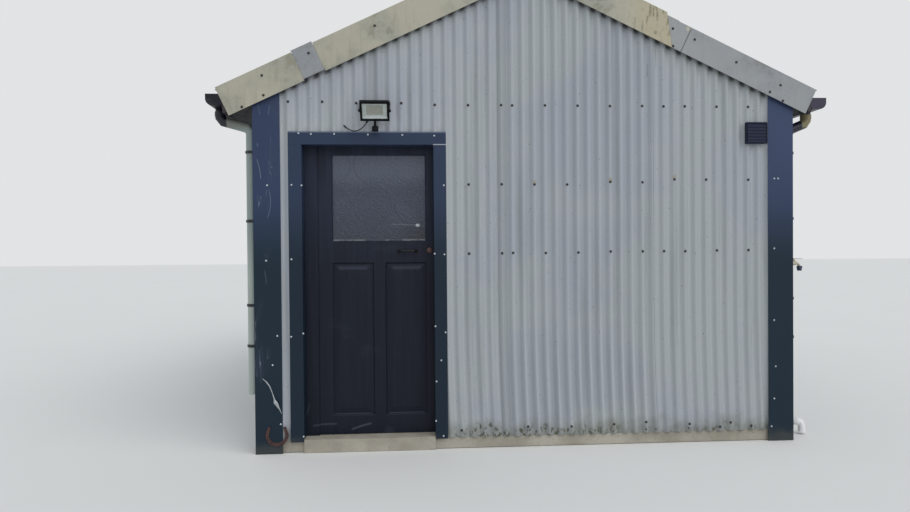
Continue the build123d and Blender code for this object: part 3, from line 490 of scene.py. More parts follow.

# %% [markdown]
# ## Door paint, glass and black steel
# The door and its frame are one dark slate satin paint over timber: faint upright grain, rubbed
# paler patches low down where feet push it, and painted light on the ledges of the panels. The
# pane is obscured glass, brighter toward its top by a painted highlight, with painted shade low
# down and painted glints. It could be flat grey, but its life is in the rippled face that breaks
# up the sky, so it is a real transmitting glass with relief: small ripples, and faint arcs round
# the centres of a wide grid. Fittings are black steel with a little rust.

# %% Joinery paint
joinery = Finish("joinery_paint", rough=0.42, shine=0.18)
grain = joinery.noise(38, 4, (1, 1, 0.05))
rubs = joinery.noise(4, 5, (0.7, 1, 1.6))
joinery.colour = joinery.blend(joinery.span(joinery.z, 1.9, 1), (37, 43, 60), (24, 29, 41))
joinery.patch((17, 21, 31), joinery.span(grain, 0.35, 0.65), 0.5)
joinery.patch((66, 72, 84), joinery.span(joinery.z, 0.34, 0.12), joinery.span(rubs, 0.56, 0.66), 0.5)
joinery.patch((50, 55, 66), joinery.span(rubs, 0.6, 0.72), 0.25)
scuff, ledge_light, bevel_light = (112, 118, 132), (84, 90, 104), (66, 73, 90)
ledge_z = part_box("door_panels")[0].z + 0.013
bevel_z = 1.252
for colour, share, *stroke in (
    (scuff, 0.18, (-1.516, 0.160), (-1.342, 0.167), 0.002, 0.010),
    (scuff, 0.26, (-1.252, 0.122), (-1.104, 0.165), 0.004, 0.011),
    (scuff, 0.3, (-1.5617, 0.2206), (-1.5337, 0.3178), 0.004, 0.003),
    (ledge_light, 0.4, (-1.372, ledge_z), (-1.097, ledge_z), 0, 0.006),
    (ledge_light, 0.4, (-0.997, ledge_z), (-0.728, ledge_z), 0, 0.006),
    (bevel_light, 0.3, (-1.338, bevel_z), (-1.122, bevel_z), 0, 0.016),
    (bevel_light, 0.3, (-0.961, bevel_z), (-0.748, bevel_z), 0, 0.016),
):
    joinery.patch(colour, joinery.stroke(*stroke), share)
joinery.done(joinery.span(rubs, 0.3, 0.7, 0.34, 0.5), grain, 0.0006)
print("lit ledges at", round(ledge_z, 3), "m")

# %% Obscured glass
ring_x, ring_z = -1.089, 1.686
half_ring, ring_radius, arc_gap = 0.1425, 0.129, 0.036
glass = Finish("obscured_glass", rough=0.38)
glass.fill(glass.shader, {"Transmission Weight": 0.45, "IOR": 1.5})
ripple = glass.node("ShaderNodeTexVoronoi", {"Vector": glass.place, "Scale": 85}, feature="SMOOTH_F1")
offs = [
    glass.math("POWER", glass.math("PINGPONG", glass.minus(place, middle), half_ring), 2)
    for place, middle in ((glass.x, ring_x), (glass.z, ring_z))
]
radius = glass.math("SQRT", glass.plus(*offs))
arcs = glass.math("SINE", glass.times(radius, math.tau / arc_gap))
mist = glass.noise(3.5, 4)
arc_line = glass.times(glass.span(arcs, 0.7, 1), glass.span(mist, 0.4, 0.6))
relief = glass.plus(ripple.outputs["Distance"], glass.times(arc_line, 0.18))
glass.colour = glass.blend(glass.span(mist, 0.35, 0.7), (69, 77, 99), (78, 86, 108))
# Painted highlight toward the top of the pane.
glass.patch((104, 112, 134), glass.span(glass.z, 1.78, 1.93, 0, 0.9))
# Painted shade toward the foot of the pane.
glass.patch((56, 63, 80), glass.span(glass.z, 1.72, 1.45, 0, 0.7))
# Painted shade low on the right of the pane.
glass.patch((30, 36, 48), glass.span(glass.x, -0.95, -0.74), glass.span(glass.z, 1.60, 1.46), 0.8)
glass.patch((120, 126, 140), arc_line, 0.16)
ring = glass.span(glass.apart(radius, ring_radius), 0.0055, 0.002)
glass.patch((44, 50, 66), ring, glass.span(mist, 0.38, 0.58, 0.05, 0.42))
# Painted glints and dark specks from the ripples.
sparkle = glass.noise(170, 2)
glass.patch((150, 156, 168), glass.span(sparkle, 0.54, 0.76, 0, 0.5))
glass.patch((46, 52, 64), glass.span(sparkle, 0.46, 0.24, 0, 0.5))
broken = glass.span(glass.noise(11, 2), 0.44, 0.58, 0.15, 1)
glass.patch((176, 180, 184), glass.span(glass.z, 1.455, 1.444), broken, 0.7)
# A painted glint and a painted trail of reflected light.
glass.patch((224, 234, 236), glass.spot(-0.775, 1.548, 0.015, 0.7))
glass.patch((130, 142, 150), glass.stroke((-0.967, 1.556), (-0.785, 1.549), 0, 0.006), 0.5)
glass.done(None, relief, 0.0028)
print("glass rings:", 2 * half_ring, "m apart")

# %% Black steel, copper and plastic


def hard_finish(name, base, wear, share, rough, metal, scale, shine=0.5):
    """Small fittings: one colour, a worn one in patches, and a fine relief."""
    made = Finish(name, rough, metal, shine)
    patches = made.noise(scale, 5, rough=0.65)
    made.colour = base
    made.patch(wear, made.span(patches, 0.5, 0.66), share)
    made.done(made.span(patches, 0.3, 0.7, rough - 0.08, rough + 0.12), patches, 0.0003)


# Colour, worn colour, share of wear, roughness, metal, patches per metre, and shine.
hard_rows = {
    "black_steel": ((16, 16, 20), (44, 36, 32), 0.35, 0.42, 0, 30, 0.3),
    "lamp_black": ((5, 5, 8), (14, 14, 18), 0.4, 0.45, 0, 30, 0.15),
    "rusty_iron": ((76, 50, 46), (46, 40, 44), 0.95, 0.8, 0, 55),
    "copper_ring": ((88, 62, 56), (50, 42, 46), 0.8, 0.45, 0.3, 120),
    "bare_metal": ((186, 190, 192), (128, 134, 140), 0.6, 0.35, 0.4, 70),
    "pale_screw": ((196, 202, 208), (140, 140, 138), 0.5, 0.4, 0.2, 200),
    "dark_screw": ((42, 40, 42), (78, 60, 48), 0.8, 0.6, 0, 160),
    "vent_plastic": ((31, 36, 56), (36, 42, 62), 0.5, 0.5, 0, 18, 0.15),
    "flex_rubber": ((22, 22, 24), (48, 47, 46), 0.4, 0.55, 0, 60),
    "nozzle_blue": ((40, 52, 84), (74, 88, 84), 0.6, 0.5, 0, 60),
    "tap_pale": ((196, 190, 172), (140, 134, 120), 0.5, 0.4, 0.3, 90),
}
for name, row in hard_rows.items():
    hard_finish(name, *row)
flex_line.materials.append(finishes["flex_rubber"])
print("hard finishes:", len(hard_rows))

# %% [markdown]
# ## Plastic rain goods, timber, concrete
# The gutters are faded dark purple plastic. The pipes differ by side: pale grey-green on the
# left, tan sockets and a nearly black offset on the right, and a pale waste elbow low down. One
# finish can hold them all, because the place on the hut tells which is which.

# %% Gutter and pipes
gutter = Finish("gutter_plastic", rough=0.38, shine=0.3)
dirt = gutter.noise(14, 5, (1, 0.3, 1))
gutter.colour = gutter.blend(gutter.span(gutter.x, -0.1, 0.1), (13, 14, 27), (57, 52, 70))
gutter.patch((72, 72, 68), gutter.span(dirt, 0.58, 0.72), 0.4)
gutter.done(gutter.span(dirt, 0.3, 0.7, 0.3, 0.55), dirt, 0.0004)

clip_heights = (2.056, 1.581, 1.001, 0.720)
pipes = Finish("pipe_plastic", rough=0.42)
dirt = pipes.noise(11, 5, (1, 1, 0.25))
pipes.colour = pipes.blend(pipes.span(pipes.z, 1.60, 1.15), (140, 153, 150), (166, 176, 170))
pipes.patch((124, 127, 120), pipes.span(pipes.z, 2.20, 2.24))
pipes.patch((24, 26, 38), pipes.span(pipes.x, -2.074, -2.082))
for clip in clip_heights:
    pipes.patch((26, 26, 30), pipes.span(pipes.apart(pipes.z, clip), 0.0105, 0.0095))
socket = pipes.times(pipes.span(pipes.z, 2.238, 2.242), pipes.span(pipes.x, 2.008, 2.014))
right_pipe = pipes.blend(socket, (30, 34, 50), (140, 130, 96))
right_pipe = pipes.blend(pipes.span(pipes.z, 0.2, 0.25), (232, 231, 234), right_pipe)
pipes.patch(right_pipe, pipes.span(pipes.x, -0.1, 0.1))
pipes.patch((80, 82, 70), pipes.span(dirt, 0.55, 0.72), 0.35)
pipes.done(None, dirt, 0.0003)
print("rain goods ready, pipe clips:", len(clip_heights))

# %% Timber and concrete
groove = 0.004
lift, dim = 0.055 * 255, 0.35 ** (1 / 2.4)  # a groove has 35 % of the light of dark wood


def board_finish(name, base, dark, board=None, along="z", outside=None):
    """Grain, a dark groove at every joint of boards, and a dark tone under the eaves, partly weathering and
    partly painted shade.
    """
    made = Finish(name, rough=0.6)
    fibres = made.noise(36, 6, (1, 1, 0.06) if along == "z" else (1, 0.06, 1))
    made.colour = made.blend(made.span(fibres, 0.3, 0.7), base, dark)
    height = fibres
    if board:
        gap = made.span(made.math("MODULO", made.plus(made.x, made.y, 50), board), 0, groove)
        made.colour = made.blend(gap, [(c + lift) * dim - lift for c in dark], made.colour)
        height = made.plus(made.times(fibres, 0.15), gap)
    if outside:
        # Under the eaves, outside the walls: a dark tone that is partly weathering and partly painted shade.
        made.patch(outside, made.span(made.math("ABSOLUTE", made.x), 1.862, 1.866))
    made.done(made.span(fibres, 0.3, 0.7, 0.5, 0.7), height, 0.002)


board_finish("lining_boards", (206, 196, 172), (184, 170, 142), 0.12)
board_finish("ceiling_boards", (198, 186, 160), (168, 150, 120), 0.14, outside=(34, 31, 36))
board_finish("weathered_wood", (50, 43, 46), (34, 30, 34), along="y")
board_finish("packer_wood", (170, 146, 108), (140, 116, 84))

stone = Finish("concrete", rough=0.85)
broad = stone.span(stone.noise(2.5, 4), 0.35, 0.65)
grit = stone.noise(70, 6, rough=0.7)
stone.colour = stone.blend(broad, (176, 170, 158), (150, 144, 132))
stone.patch((104, 98, 84), stone.span(grit, 0.56, 0.68), 0.6)
stone.done(None, grit, 0.0015)
print("finishes so far:", len(finishes))

# %% [markdown]
# ## The floor of the studio
# A plain pale floor carries the hut's soft shadow. It isn't part of the hut. It is a flat grid, and
# so are the sheets later, so the grid gets a helper.

# %% Studio floor
floor_wide = 120


def grid(columns, rows, wide=1, tall=1, middle=(0, 0, 0)):
    """A flat grid of a size, laid round a middle."""
    bm = bmesh.new()
    bmesh.ops.create_grid(bm, x_segments=columns, y_segments=rows, size=0.5)
    bmesh.ops.scale(bm, vec=(wide, tall, 1), verts=bm.verts)
    bmesh.ops.translate(bm, vec=middle, verts=bm.verts)
    return bm


def mesh_of(name, bm):
    """Keep a bmesh as a mesh."""
    mesh = bpy.data.meshes.new(name)
    bm.to_mesh(mesh)
    bm.free()
    return mesh


def object_of(name, bm, finish):
    """Turn a bmesh into an object that wears a finish."""
    made = bpy.data.objects.new(name, mesh_of(name, bm))
    made.data.materials.append(finishes[finish])
    scene.collection.objects.link(made)
    return made


pale = Finish("studio_floor", rough=0.9)
pale.colour = pale.blend(pale.noise(0.4, 2), (226, 226, 224), (230, 230, 228))
pale.done()
floor = object_of("studio_floor", grid(1, 1, floor_wide, floor_wide), "studio_floor")
floor.location = (0, 0, -0.002)
print("floor spans", floor_wide, "m")

# %% [markdown]
# ## Dressing the frame's own pieces
# Most solids already have the right shape, so they only take a finish. The slots of the object
# hold it, and the mesh stays as it came.

# %% Give the frame its finishes
wearers = {
    "lining_boards": "side_walls front_wall_left front_wall_right front_wall_over_door back_wall",
    "ceiling_boards": "roof_deck_left roof_deck_right",
    "weathered_wood": "fascia_boards",
    "packer_wood": "reveal_packers",
    "concrete": "floor_slab door_sill",
    "gable_paint": "front_cladding back_cladding",
    "side_paint": "side_cladding",
    "roof_paint": "roof_sheets",
    "blue_flashing": "corner_flashings_front corner_flashings_back",
    "door_trim_paint": "door_trim",
    "cream_barge": "barge_cream barge_back",
    "grey_barge": "barge_grey ridge_cap",
    "joinery_paint": "door_frame door_leaf door_panels",
    "obscured_glass": "door_glass floodlight_glass",
    "black_steel": "hinges_frame_half door_furniture latch_keep",
    "gutter_plastic": "gutters",
    "pipe_plastic": "drain_pipes",
    "lamp_black": "floodlight_housing floodlight_bracket",
    "flex_rubber": "floodlight_flex flex_glands",
    "vent_plastic": "wall_vent",
    "tap_pale": "outside_tap",
    "nozzle_blue": "tap_nozzle",
    "rusty_iron": "horseshoe",
}
finish_of = {node: finish for finish, nodes in wearers.items() for node in nodes.split()}
for name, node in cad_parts.items():
    if not node.material_slots:
        node.data.materials.append(None)
    for slot in node.material_slots:
        slot.link = "OBJECT"
        slot.material = finishes[finish_of[name]]
print("dressed", len(finish_of), "pieces")

# %% [markdown]
# ## Making pieces
# Every new piece ends the same way: its bmesh becomes an object at the origin, takes a finish,
# and rides on the hut or on the door. A soft bevel on a copy of a frame piece gives edges that
# catch the light, which a knife-sharp solid can't.

# %% Helpers for pieces


def finished(name, bm, finish, hides=None, body="hut", smooth=False):
    """Turn a bmesh into a piece that rides on a body."""
    piece = object_of(name, bm, finish)
    if smooth:
        piece.data.shade_smooth()
    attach(piece, body)
    if hides:
        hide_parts(hides)
    print(name, "has", len(piece.data.polygons), "faces")
    return piece


def bevelled(bm, width, sharp):
    """Round the edges that are sharper than so many degrees."""
    edges = [e for e in bm.edges if len(e.link_faces) == 2 and e.calc_face_angle(0) > math.radians(sharp)]
    bmesh.ops.bevel(
        bm, geom=edges, offset=width, offset_type="OFFSET", segments=2, profile=0.5,
        affect="EDGES", clamp_overlap=True, material=-1,
    )


def softened(node, name, finish, width, sharp=30, body="hut"):
    """A copy of a frame piece whose sharp edges are rounded."""
    bm = bmesh.new()
    bm.from_mesh(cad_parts[node].data)
    bmesh.ops.remove_doubles(bm, verts=bm.verts, dist=0.00002)
    bmesh.ops.dissolve_limit(bm, angle_limit=math.radians(0.5), verts=bm.verts, edges=bm.edges)
    bmesh.ops.recalc_face_normals(bm, faces=bm.faces)
    bevelled(bm, width, sharp)
    finished(name, bm, finish, node, body)


print("helpers ready")

# %% [markdown]
# ## Corrugated sheets
# The skin of the hut is thin steel rolled into waves 76 mm apart and 18 mm deep. A bumped flat
# wall would look right only from the front. Here a flat grid is made, its vertices are set on a
# cosine wave, the roof line and the doorway are cut with planes, and the skin is given its
# thickness last. Neighbouring sheets overlap, and every other one lies a little lower, so that
# they don't cut each other.

# %% The wave
swing = 0.009
metal = 0.0009
tucked = -0.0012


def thicken(bm, thick=metal):
    """Give a sheet its thickness, inwards, with all faces pointing out."""
    bmesh.ops.recalc_face_normals(bm, faces=bm.faces)
    if sum(f.normal.z for f in bm.faces) < 0:
        bmesh.ops.reverse_faces(bm, faces=bm.faces)
    bmesh.ops.solidify(bm, geom=bm.faces[:] + bm.edges[:] + bm.verts[:], thickness=thick)
    bmesh.ops.recalc_face_normals(bm, faces=bm.faces)


def joined(parts):
    """Several bmeshes as one."""
    whole = bmesh.new()
    for part in parts:
        kept = mesh_of("part", part)
        whole.from_mesh(kept)
        bpy.data.meshes.remove(kept)
    return whole


def lapped(laps, foot, top, crest, waves_in=8, shape=None):
    """Lapped sheets: x across the waves, y up along them, z out, with the valleys on z = 0."""
    parts = []
    for n, (low, high) in enumerate(laps):
        columns = max(2, round((high - low) / wave * waves_in))
        part = grid(columns, 1, high - low, top - foot, ((low + high) / 2, (foot + top) / 2, 0))
        for vert in part.verts:
            turn_at = math.tau * (vert.co.x - crest) / wave
            vert.co.z = swing * (1 + math.cos(turn_at)) + (0 if n % 2 else tucked)
        if shape:
            shape(part, n)
        thicken(part)
        parts.append(part)
    return joined(parts)


def stand(bm, origin, along, up, out):
    """Set a flat-made sheet into its place by its three directions."""
    axes = Matrix((along, up, out)).transposed().to_4x4()
    bmesh.ops.transform(bm, matrix=Matrix.Translation(origin) @ axes, verts=bm.verts)
    if axes.determinant() < 0:
        bmesh.ops.reverse_faces(bm, faces=bm.faces)


print("one wave:", wave, "m, depth", 2 * swing, "m")

# %% [markdown]
# The front gable takes three sheets side by side. They weren't hung quite plumb: over the lowest
# metre their waves lean 24 mm to the right, so the grid gets a few more rows there and they are
# shifted. Each sheet is cut along the slope of the roof, and the left one also round the
# doorway: two upright cuts and a level one free a rectangle, which is then deleted. That keeps
# the waves whole up to the very edge.

# %% Cutting sheets
core_x = 1.860
eave_z = 2.392
apex_z = eave_z + core_x * math.tan(pitch)
along_x, along_y = (1, 0, 0), (0, 1, 0)


def cut(bm, place, normal, drop=False):
    """Cut a sheet by a plane, and drop what lies beyond it if asked."""
    bmesh.ops.bisect_plane(
        bm, geom=bm.verts[:] + bm.edges[:] + bm.faces[:], plane_co=place, plane_no=normal,
        clear_outer=drop,
    )


def cut_out(bm, lines, inside):
    """Cut along lines, each a value and its axis, and delete the faces that are inside."""
    for value, axis in lines:
        cut(bm, Vector(axis) * value, axis)
    gone = [face for face in bm.faces if inside(face.calc_center_median())]
    bmesh.ops.delete(bm, geom=gone, context="FACES")


def cut_to_roof(bm):
    """Cut a gable sheet along both slopes and at both corners."""
    for hand in (-1, 1):
        for normal in ((hand * math.sin(pitch), math.cos(pitch), 0), (hand, 0, 0)):
            cut(bm, (hand * core_x, eave_z, 0), normal, drop=True)


print("apex of the sheets at", round(apex_z, 3), "m")

# %% Gables, front and back
front_valley = -2.422
foot_z = 0.078
hole_left, hole_right, hole_top = -1.5595, -0.6615, 2.0955


def gable(name, laps, hand, hides, doorway=False):
    """The sheets of one gable. Hand is 1 for the front, and -1 for the back."""

    def shape(part, n):
        for height in (1.1, 0.9, 0.7, 0.5, 0.3):
            cut(part, (0, height, 0), along_y)
        for vert in part.verts:
            vert.co.x += hand * lean_rate * max(lean_top - vert.co.y, 0) ** 2
        cut_to_roof(part)
        if doorway and n == 0:
            cut_out(
                part, ((hole_left, along_x), (hole_right, along_x), (hole_top, along_y)),
                lambda spot: hole_left < spot.x < hole_right and spot.y < hole_top,
            )

    bm = lapped(laps, foot_z, apex_z, hand * front_crest, 12, shape)
    stand(bm, (0, hand * front_valley, 0), (hand, 0, 0), (0, 0, 1), (0, -hand, 0))
    finished(name, bm, "gable_paint", hides)


front_laps = [(-core_x, -0.140), middle_sheet, (0.780, core_x)]
back_laps = [(-core_x, -0.70), (-0.80, 0.44), (0.33, core_x)]
gable("front_sheets", front_laps, 1, "front_cladding", doorway=True)
gable("back_sheets", back_laps, -1, "back_cladding")

# %% [markdown]
# The long sides are the same sheets, plumb and uncut. Both sides are one piece, because the
# frame has them as one.

# %% Long sides
side_laps = [(-2.420, -1.60), (-1.69, -0.80), (-0.90, 0.04), (-0.06, 0.88), (0.78, 1.70), (1.60, 2.420)]
side_top = 2.3825
sheet_gap = 0.002
sides = []
for hand in (-1, 1):
    bm = lapped(side_laps, foot_z, side_top, 0)
    stand(bm, (hand * (core_x + sheet_gap), 0, 0), along_y, (0, 0, 1), (hand, 0, 0))
    sides.append(bm)
finished("side_sheets", joined(sides), "side_paint", "side_cladding")

# %% [markdown]
# The roof takes the same sheets laid on the slope, from the ridge cap to just over the gutter.
# Each slope has its own three directions: along the ridge, down the slope, and square to it. On
# the lower right the newer grey barge has no leg over the sheets, so they stop short of it and
# a flat flange covers the deck.

# %% Roof
deck_thick = 0.155
ridge_gap = 0.030
wall_half, gutter_lap = 1.880, 0.045
roof_laps = [(-2.468, -1.52), (-1.62, -0.70), (-0.80, 0.12), (0.02, 0.94), (0.84, 1.76), (1.66, 2.468)]
verge_down, verge_back = 1.06, -2.34


def slope_axes(hand):
    """The directions down a slope of the roof and square to it."""
    down = Vector((hand * math.cos(pitch), 0, -math.sin(pitch)))
    return down, Vector((hand * math.sin(pitch), 0, math.cos(pitch)))


def verge_cut(part, n):
    """Keep the first sheet back from the part of the verge that has only a flat flange."""
    if n == 0:
        cut_out(
            part, ((verge_down, along_y), (verge_back, along_x)),
            lambda spot: spot.x < verge_back and spot.y > verge_down,
        )


slopes = []
for hand, eave, shape in ((-1, 0.190, None), (1, 0.120, verge_cut)):
    reach = wall_half + eave + gutter_lap
    long = (reach - deck_thick * math.sin(pitch)) / math.cos(pitch) - ridge_gap
    down, normal = slope_axes(hand)
    start = Vector((0, 0, apex_z)) + down * ridge_gap + normal * (deck_thick + sheet_gap)
    bm = lapped(roof_laps, 0, long, 0, shape=shape)
    stand(bm, start, along_y, down, normal)
    slopes.append(bm)
verge_edge = roof_laps[0][0]
flange_middle = ((verge_edge + verge_back) / 2, (long + verge_down) / 2, -0.0005)
flange = grid(1, 1, verge_back - verge_edge, long - verge_down, flange_middle)
thicken(flange)
stand(flange, start, along_y, down, normal)
finished("verge_flange", flange, "grey_barge")
finished("roof_waves", joined(slopes), "roof_paint", "roof_sheets")

# %% [markdown]
# ## Screws
# Self-drilling screws hold the sheets down: a hexagonal head on a washer with a soft seal. One
# screw is modelled, with few faces because hundreds are used, and copied to each measured
# place on the crests.

# %% One screw


def screw_mesh(washer, head, tall, sides=6):
    """A head on a domed washer, standing on z = 0."""
    bm = bmesh.new()
    for segments, wide, narrow, share, lift in (
        (12, washer, washer * 0.62, 0.4, 0.2), (sides, head, head * 0.86, 0.6, 0.7),
    ):
        bmesh.ops.create_cone(
            bm, cap_ends=True, segments=segments, radius1=wide, radius2=narrow, depth=tall * share,
            matrix=Matrix.Translation((0, 0, tall * lift)),
        )
    return mesh_of("screw", bm)


def screws(name, template, spots, finish):
    """Copies of a screw at spots, each a place and the direction it points out."""
    bm = bmesh.new()
    for place, out in spots:
        before = len(bm.verts)
        bm.from_mesh(template)
        bm.verts.ensure_lookup_table()
        fresh = bm.verts[before:]
        spin = Matrix.Rotation(dice.uniform(0, 1), 4, "Z")
        aim = Vector(out).to_track_quat("Z", "Y").to_matrix().to_4x4()
        bmesh.ops.transform(bm, matrix=Matrix.Translation(place) @ aim @ spin, verts=fresh)
    finished(name, bm, finish)


crest_screw = screw_mesh(0.0095, 0.0055, 0.008)
print("one screw:", len(crest_screw.polygons), "faces")

# %% [markdown]
# The rows on the front follow the rails behind the sheets. Whole numbers count crests from one
# near the doorway, as they were counted on the real wall. The lowest screws sit where the waves
# lean and were driven by eye, so each of those has its own place.

# %% Screws on the front
outward = (0, -1, 0)
seat = 0.0006
crest_zero = -0.424
front_face = front_valley - 2 * swing
rows = {
    2.366: (-3, 0, 3, 4, 7, 10, 13, 16, 18, 20, 23, 26),
    2.374: (-10, -6),
    2.383: (-16, -13),
    1.820: (0, 3, 6, 9),
    1.836: (13, 16),
    1.853: (19, 22, 26),
    1.347: (0, 3, 4, 7, 10),
    1.352: (13, 16, 18, 20),
    1.356: (23, 26),
}
low_row = [
    (-0.484, 0.128), (-0.022, 0.142), (0.283, 0.136), (0.585, 0.144), (0.814, 0.154),
    (1.126, 0.133), (1.347, 0.108), (1.424, 0.136), (1.575, 0.109),
]
small_row = [(0.579, 0.093), (0.814, 0.103), (0.885, 0.101), (1.119, 0.105)]


def on_wave(x, z):
    """A place on the face of the front sheets."""
    turn_at = math.tau * (x - lean_rate * max(lean_top - z, 0) ** 2 - front_crest) / wave
    return (x, front_valley - swing * (1 + math.cos(turn_at)) + seat, z)


spots = []
for height, counts in rows.items():
    for n in counts:
        place = (crest_zero + n * wave, front_face + seat, height + dice.uniform(-0.002, 0.002))
        spots.append((place, outward))
spots += [(on_wave(x, z), outward) for x, z in low_row]
screws("front_screws", crest_screw, spots, "dark_screw")
small_screw = screw_mesh(0.0062, 0.0040, 0.005)
small_spots = [(on_wave(x, z), outward) for x, z in small_row]
screws("small_screws", small_screw, small_spots, "dark_screw")
print("front screws:", len(spots) + len(small_spots))

# %% Screws on the back, the sides and the roof
side_face = 1.8795
roof_face = deck_thick + 0.0195
every_third = range(-27, 28, 3)
last_crest = 1.66
spots = []
for height in (0.16, 1.351, 1.835, 2.30):
    for n in range(-23, 24, 3):
        x = -front_crest + n * wave
        if abs(x) < last_crest:
            spots.append(((-x, -front_face - seat, height), (0, 1, 0)))
for hand in (-1, 1):
    for height in (0.16, 0.95, 1.65, 2.30):
        spots += [((hand * side_face, n * wave, height), (hand, 0, 0)) for n in every_third]
    down, normal = slope_axes(hand)
    for along in (0.32, 0.95, 1.55, 2.12):
        for n in every_third:
            spots.append((Vector((0, n * wave, apex_z)) + down * along + normal * roof_face, normal))
screws("other_screws", crest_screw, spots, "dark_screw")
print("other screws:", len(spots))

# %% [markdown]
# The folded trims are held by small pale pan heads, and the barges by darker ones. They were
# driven by eye, so each has its own measured place.

# %% Screws in the trims and barges
trim_face, barge_face = -2.4420, -2.4700
trim_spots = [
    (-1.575, 2.168), (-1.492, 2.163), (-1.336, 2.164), (-1.109, 2.161), (-0.876, 2.158), (-0.658, 2.154),
    (-1.625, 1.820), (-1.558, 1.816), (-1.630, 1.317), (-1.637, 0.793), (-1.556, 0.814), (-1.561, 0.113),
    (-0.595, 1.815), (-0.594, 1.342), (-0.662, 1.347), (-0.590, 0.806), (-0.660, 0.849), (-0.622, 0.614),
    (-0.656, 0.470), (-0.661, 0.198), (-0.610, 0.093),
]
corner_spots = [
    (-1.787, 1.817), (-1.799, 1.309), (-1.730, 0.800), (-1.763, 0.603), (-1.713, 0.201),
    (1.746, 1.859), (1.773, 1.859), (1.744, 1.365), (1.742, 0.856), (1.752, 0.528), (1.742, 0.299),
    (1.720, 0.102),
]
barge_spots = [
    (-1.808, 2.548), (-1.799, 2.416), (-1.498, 2.700), (-1.055, 2.889), (-1.941, 2.337),
    (1.005, 2.897), (1.160, 2.823), (1.458, 2.668), (1.777, 2.511), (1.700, 2.463), (1.794, 2.402),
    (1.006, 2.776),
]
pan_head = screw_mesh(0.0062, 0.0045, 0.0045, sides=8)
for name, template, face, places, finish, slot in (
    ("trim_screws", pan_head, trim_face, trim_spots + corner_spots, "pale_screw", "flashing_blue"),
    ("barge_screws", crest_screw, barge_face, barge_spots, "dark_screw", "barge_cream"),
):
    screws(name, template, [((x, face, z), outward) for x, z in places], finish)

# %% [markdown]
# ## The torn flashing
# Low on the left corner something tore the folded cover, and a pale sliver of bare metal curls
# out of it. A strip is made from a grid, its vertices are set along the tear, widest in the
# lower half, and its free edge stands away from the face.

# %% Torn lip
tear = [
    (-1.831, 0.514, 0.003, 0.001), (-1.805, 0.490, 0.012, 0.005), (-1.785, 0.462, 0.009, 0.004),
    (-1.766, 0.414, 0.007, 0.004), (-1.754, 0.373, 0.011, 0.008), (-1.744, 0.347, 0.033, 0.018),
    (-1.730, 0.322, 0.020, 0.012), (-1.717, 0.298, 0.008, 0.005), (-1.705, 0.272, 0.003, 0.001),
]
tear_face = -2.4425
curl, slant = 1.6, 0.3


def tear_at(share):
    """The tear's x, height, width and stand-off at a share of its length."""
    spot = share * (len(tear) - 1)
    n = min(int(spot), len(tear) - 2)
    return [a + (b - a) * (spot - n) for a, b in zip(tear[n], tear[n + 1])]


bm = grid(4, 48)
for vert in bm.verts:
    x, z, wide, proud = tear_at(vert.co.y + 0.5)
    reach = vert.co.x * wide
    vert.co = (x + reach, tear_face - math.sin((vert.co.x + 0.5) * curl) * proud, z + slant * reach)
bmesh.ops.solidify(bm, geom=bm.faces[:] + bm.edges[:] + bm.verts[:], thickness=0.0008)
bmesh.ops.recalc_face_normals(bm, faces=bm.faces)
finished("torn_lip", bm, "bare_metal", smooth=True)

# %% [markdown]
# ## The door
# The leaf is framed from stiles and rails, with two raised panels below and the pane above. The
# solids are already right, but planed timber never has sharp edges, so the leaf, its panels
# and the frame are copied and their edges eased. The slab and the horseshoe are eased too.

# %% Eased edges
softened("door_leaf", "leaf_eased", "joinery_paint", 0.0016, body="door")
softened("door_panels", "panels_eased", "joinery_paint", 0.0010, sharp=6, body="door")
softened("door_frame", "frame_eased", "joinery_paint", 0.0020)
softened("floor_slab", "slab_eased", "concrete", 0.0060)
softened("horseshoe", "shoe_eased", "rusty_iron", 0.0016)

# %% [markdown]
# ## The vent
# A square plastic vent hangs under the right end of the eaves, with six shallow louvres. They
# could be cut as slots, but slots read as black bars from afar. So a grid is laid in a sunk
# face, every other row of its vertices is pushed back, and each slat slopes like a real one.

# %% Louvred vent
vent_low, vent_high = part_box("wall_vent")
vent_size = vent_high - vent_low
rim, sink, slats = 0.009, 0.006, 6
slat_front, slat_back = -0.0016, -0.0040
bm = bmesh.new()
bmesh.ops.create_cube(bm, size=1)
bmesh.ops.scale(bm, vec=vent_size, verts=bm.verts)
face = min(bm.faces, key=lambda f: f.calc_center_median().y)
bmesh.ops.inset_region(bm, faces=[face], thickness=rim, depth=-sink)
bevelled(bm, 0.0012, 57)
louvres = grid(1, slats * 2)
for vert in louvres.verts:
    row = round((vert.co.y + 0.5) * slats * 2)
    vert.co.z = slat_back if row % 2 else slat_front
bmesh.ops.scale(louvres, vec=(vent_size.x - 2 * rim, vent_size.z - 2 * rim, 1), verts=louvres.verts)
thicken(louvres, 0.0008)
stand(louvres, (0, -vent_size.y / 2, 0), along_x, (0, 0, 1), outward)
vent = joined([bm, louvres])
bmesh.ops.translate(vent, vec=(vent_low + vent_high) / 2, verts=vent.verts)
finished("vent_louvres", vent, "vent_plastic", "wall_vent")

# %% [markdown]
# ## The floodlight
# Inside the black tray lies a pale reflector, and at its bottom the plate with the light
# sources. The tray stays a solid of the frame. The reflector starts as one flat face in the
# lamp's own plane, and is inset and pushed back to leave the plate.

# %% Finishes of the reflector
glass_low, glass_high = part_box("floodlight_glass")
glass_mid = (glass_low + glass_high) / 2
mirror = Finish("reflector_metal", rough=0.35, shine=0.4)
haze = mirror.noise(24, 4)
mirror.colour = mirror.blend(mirror.span(haze, 0.35, 0.65), (206, 216, 212), (192, 202, 198))
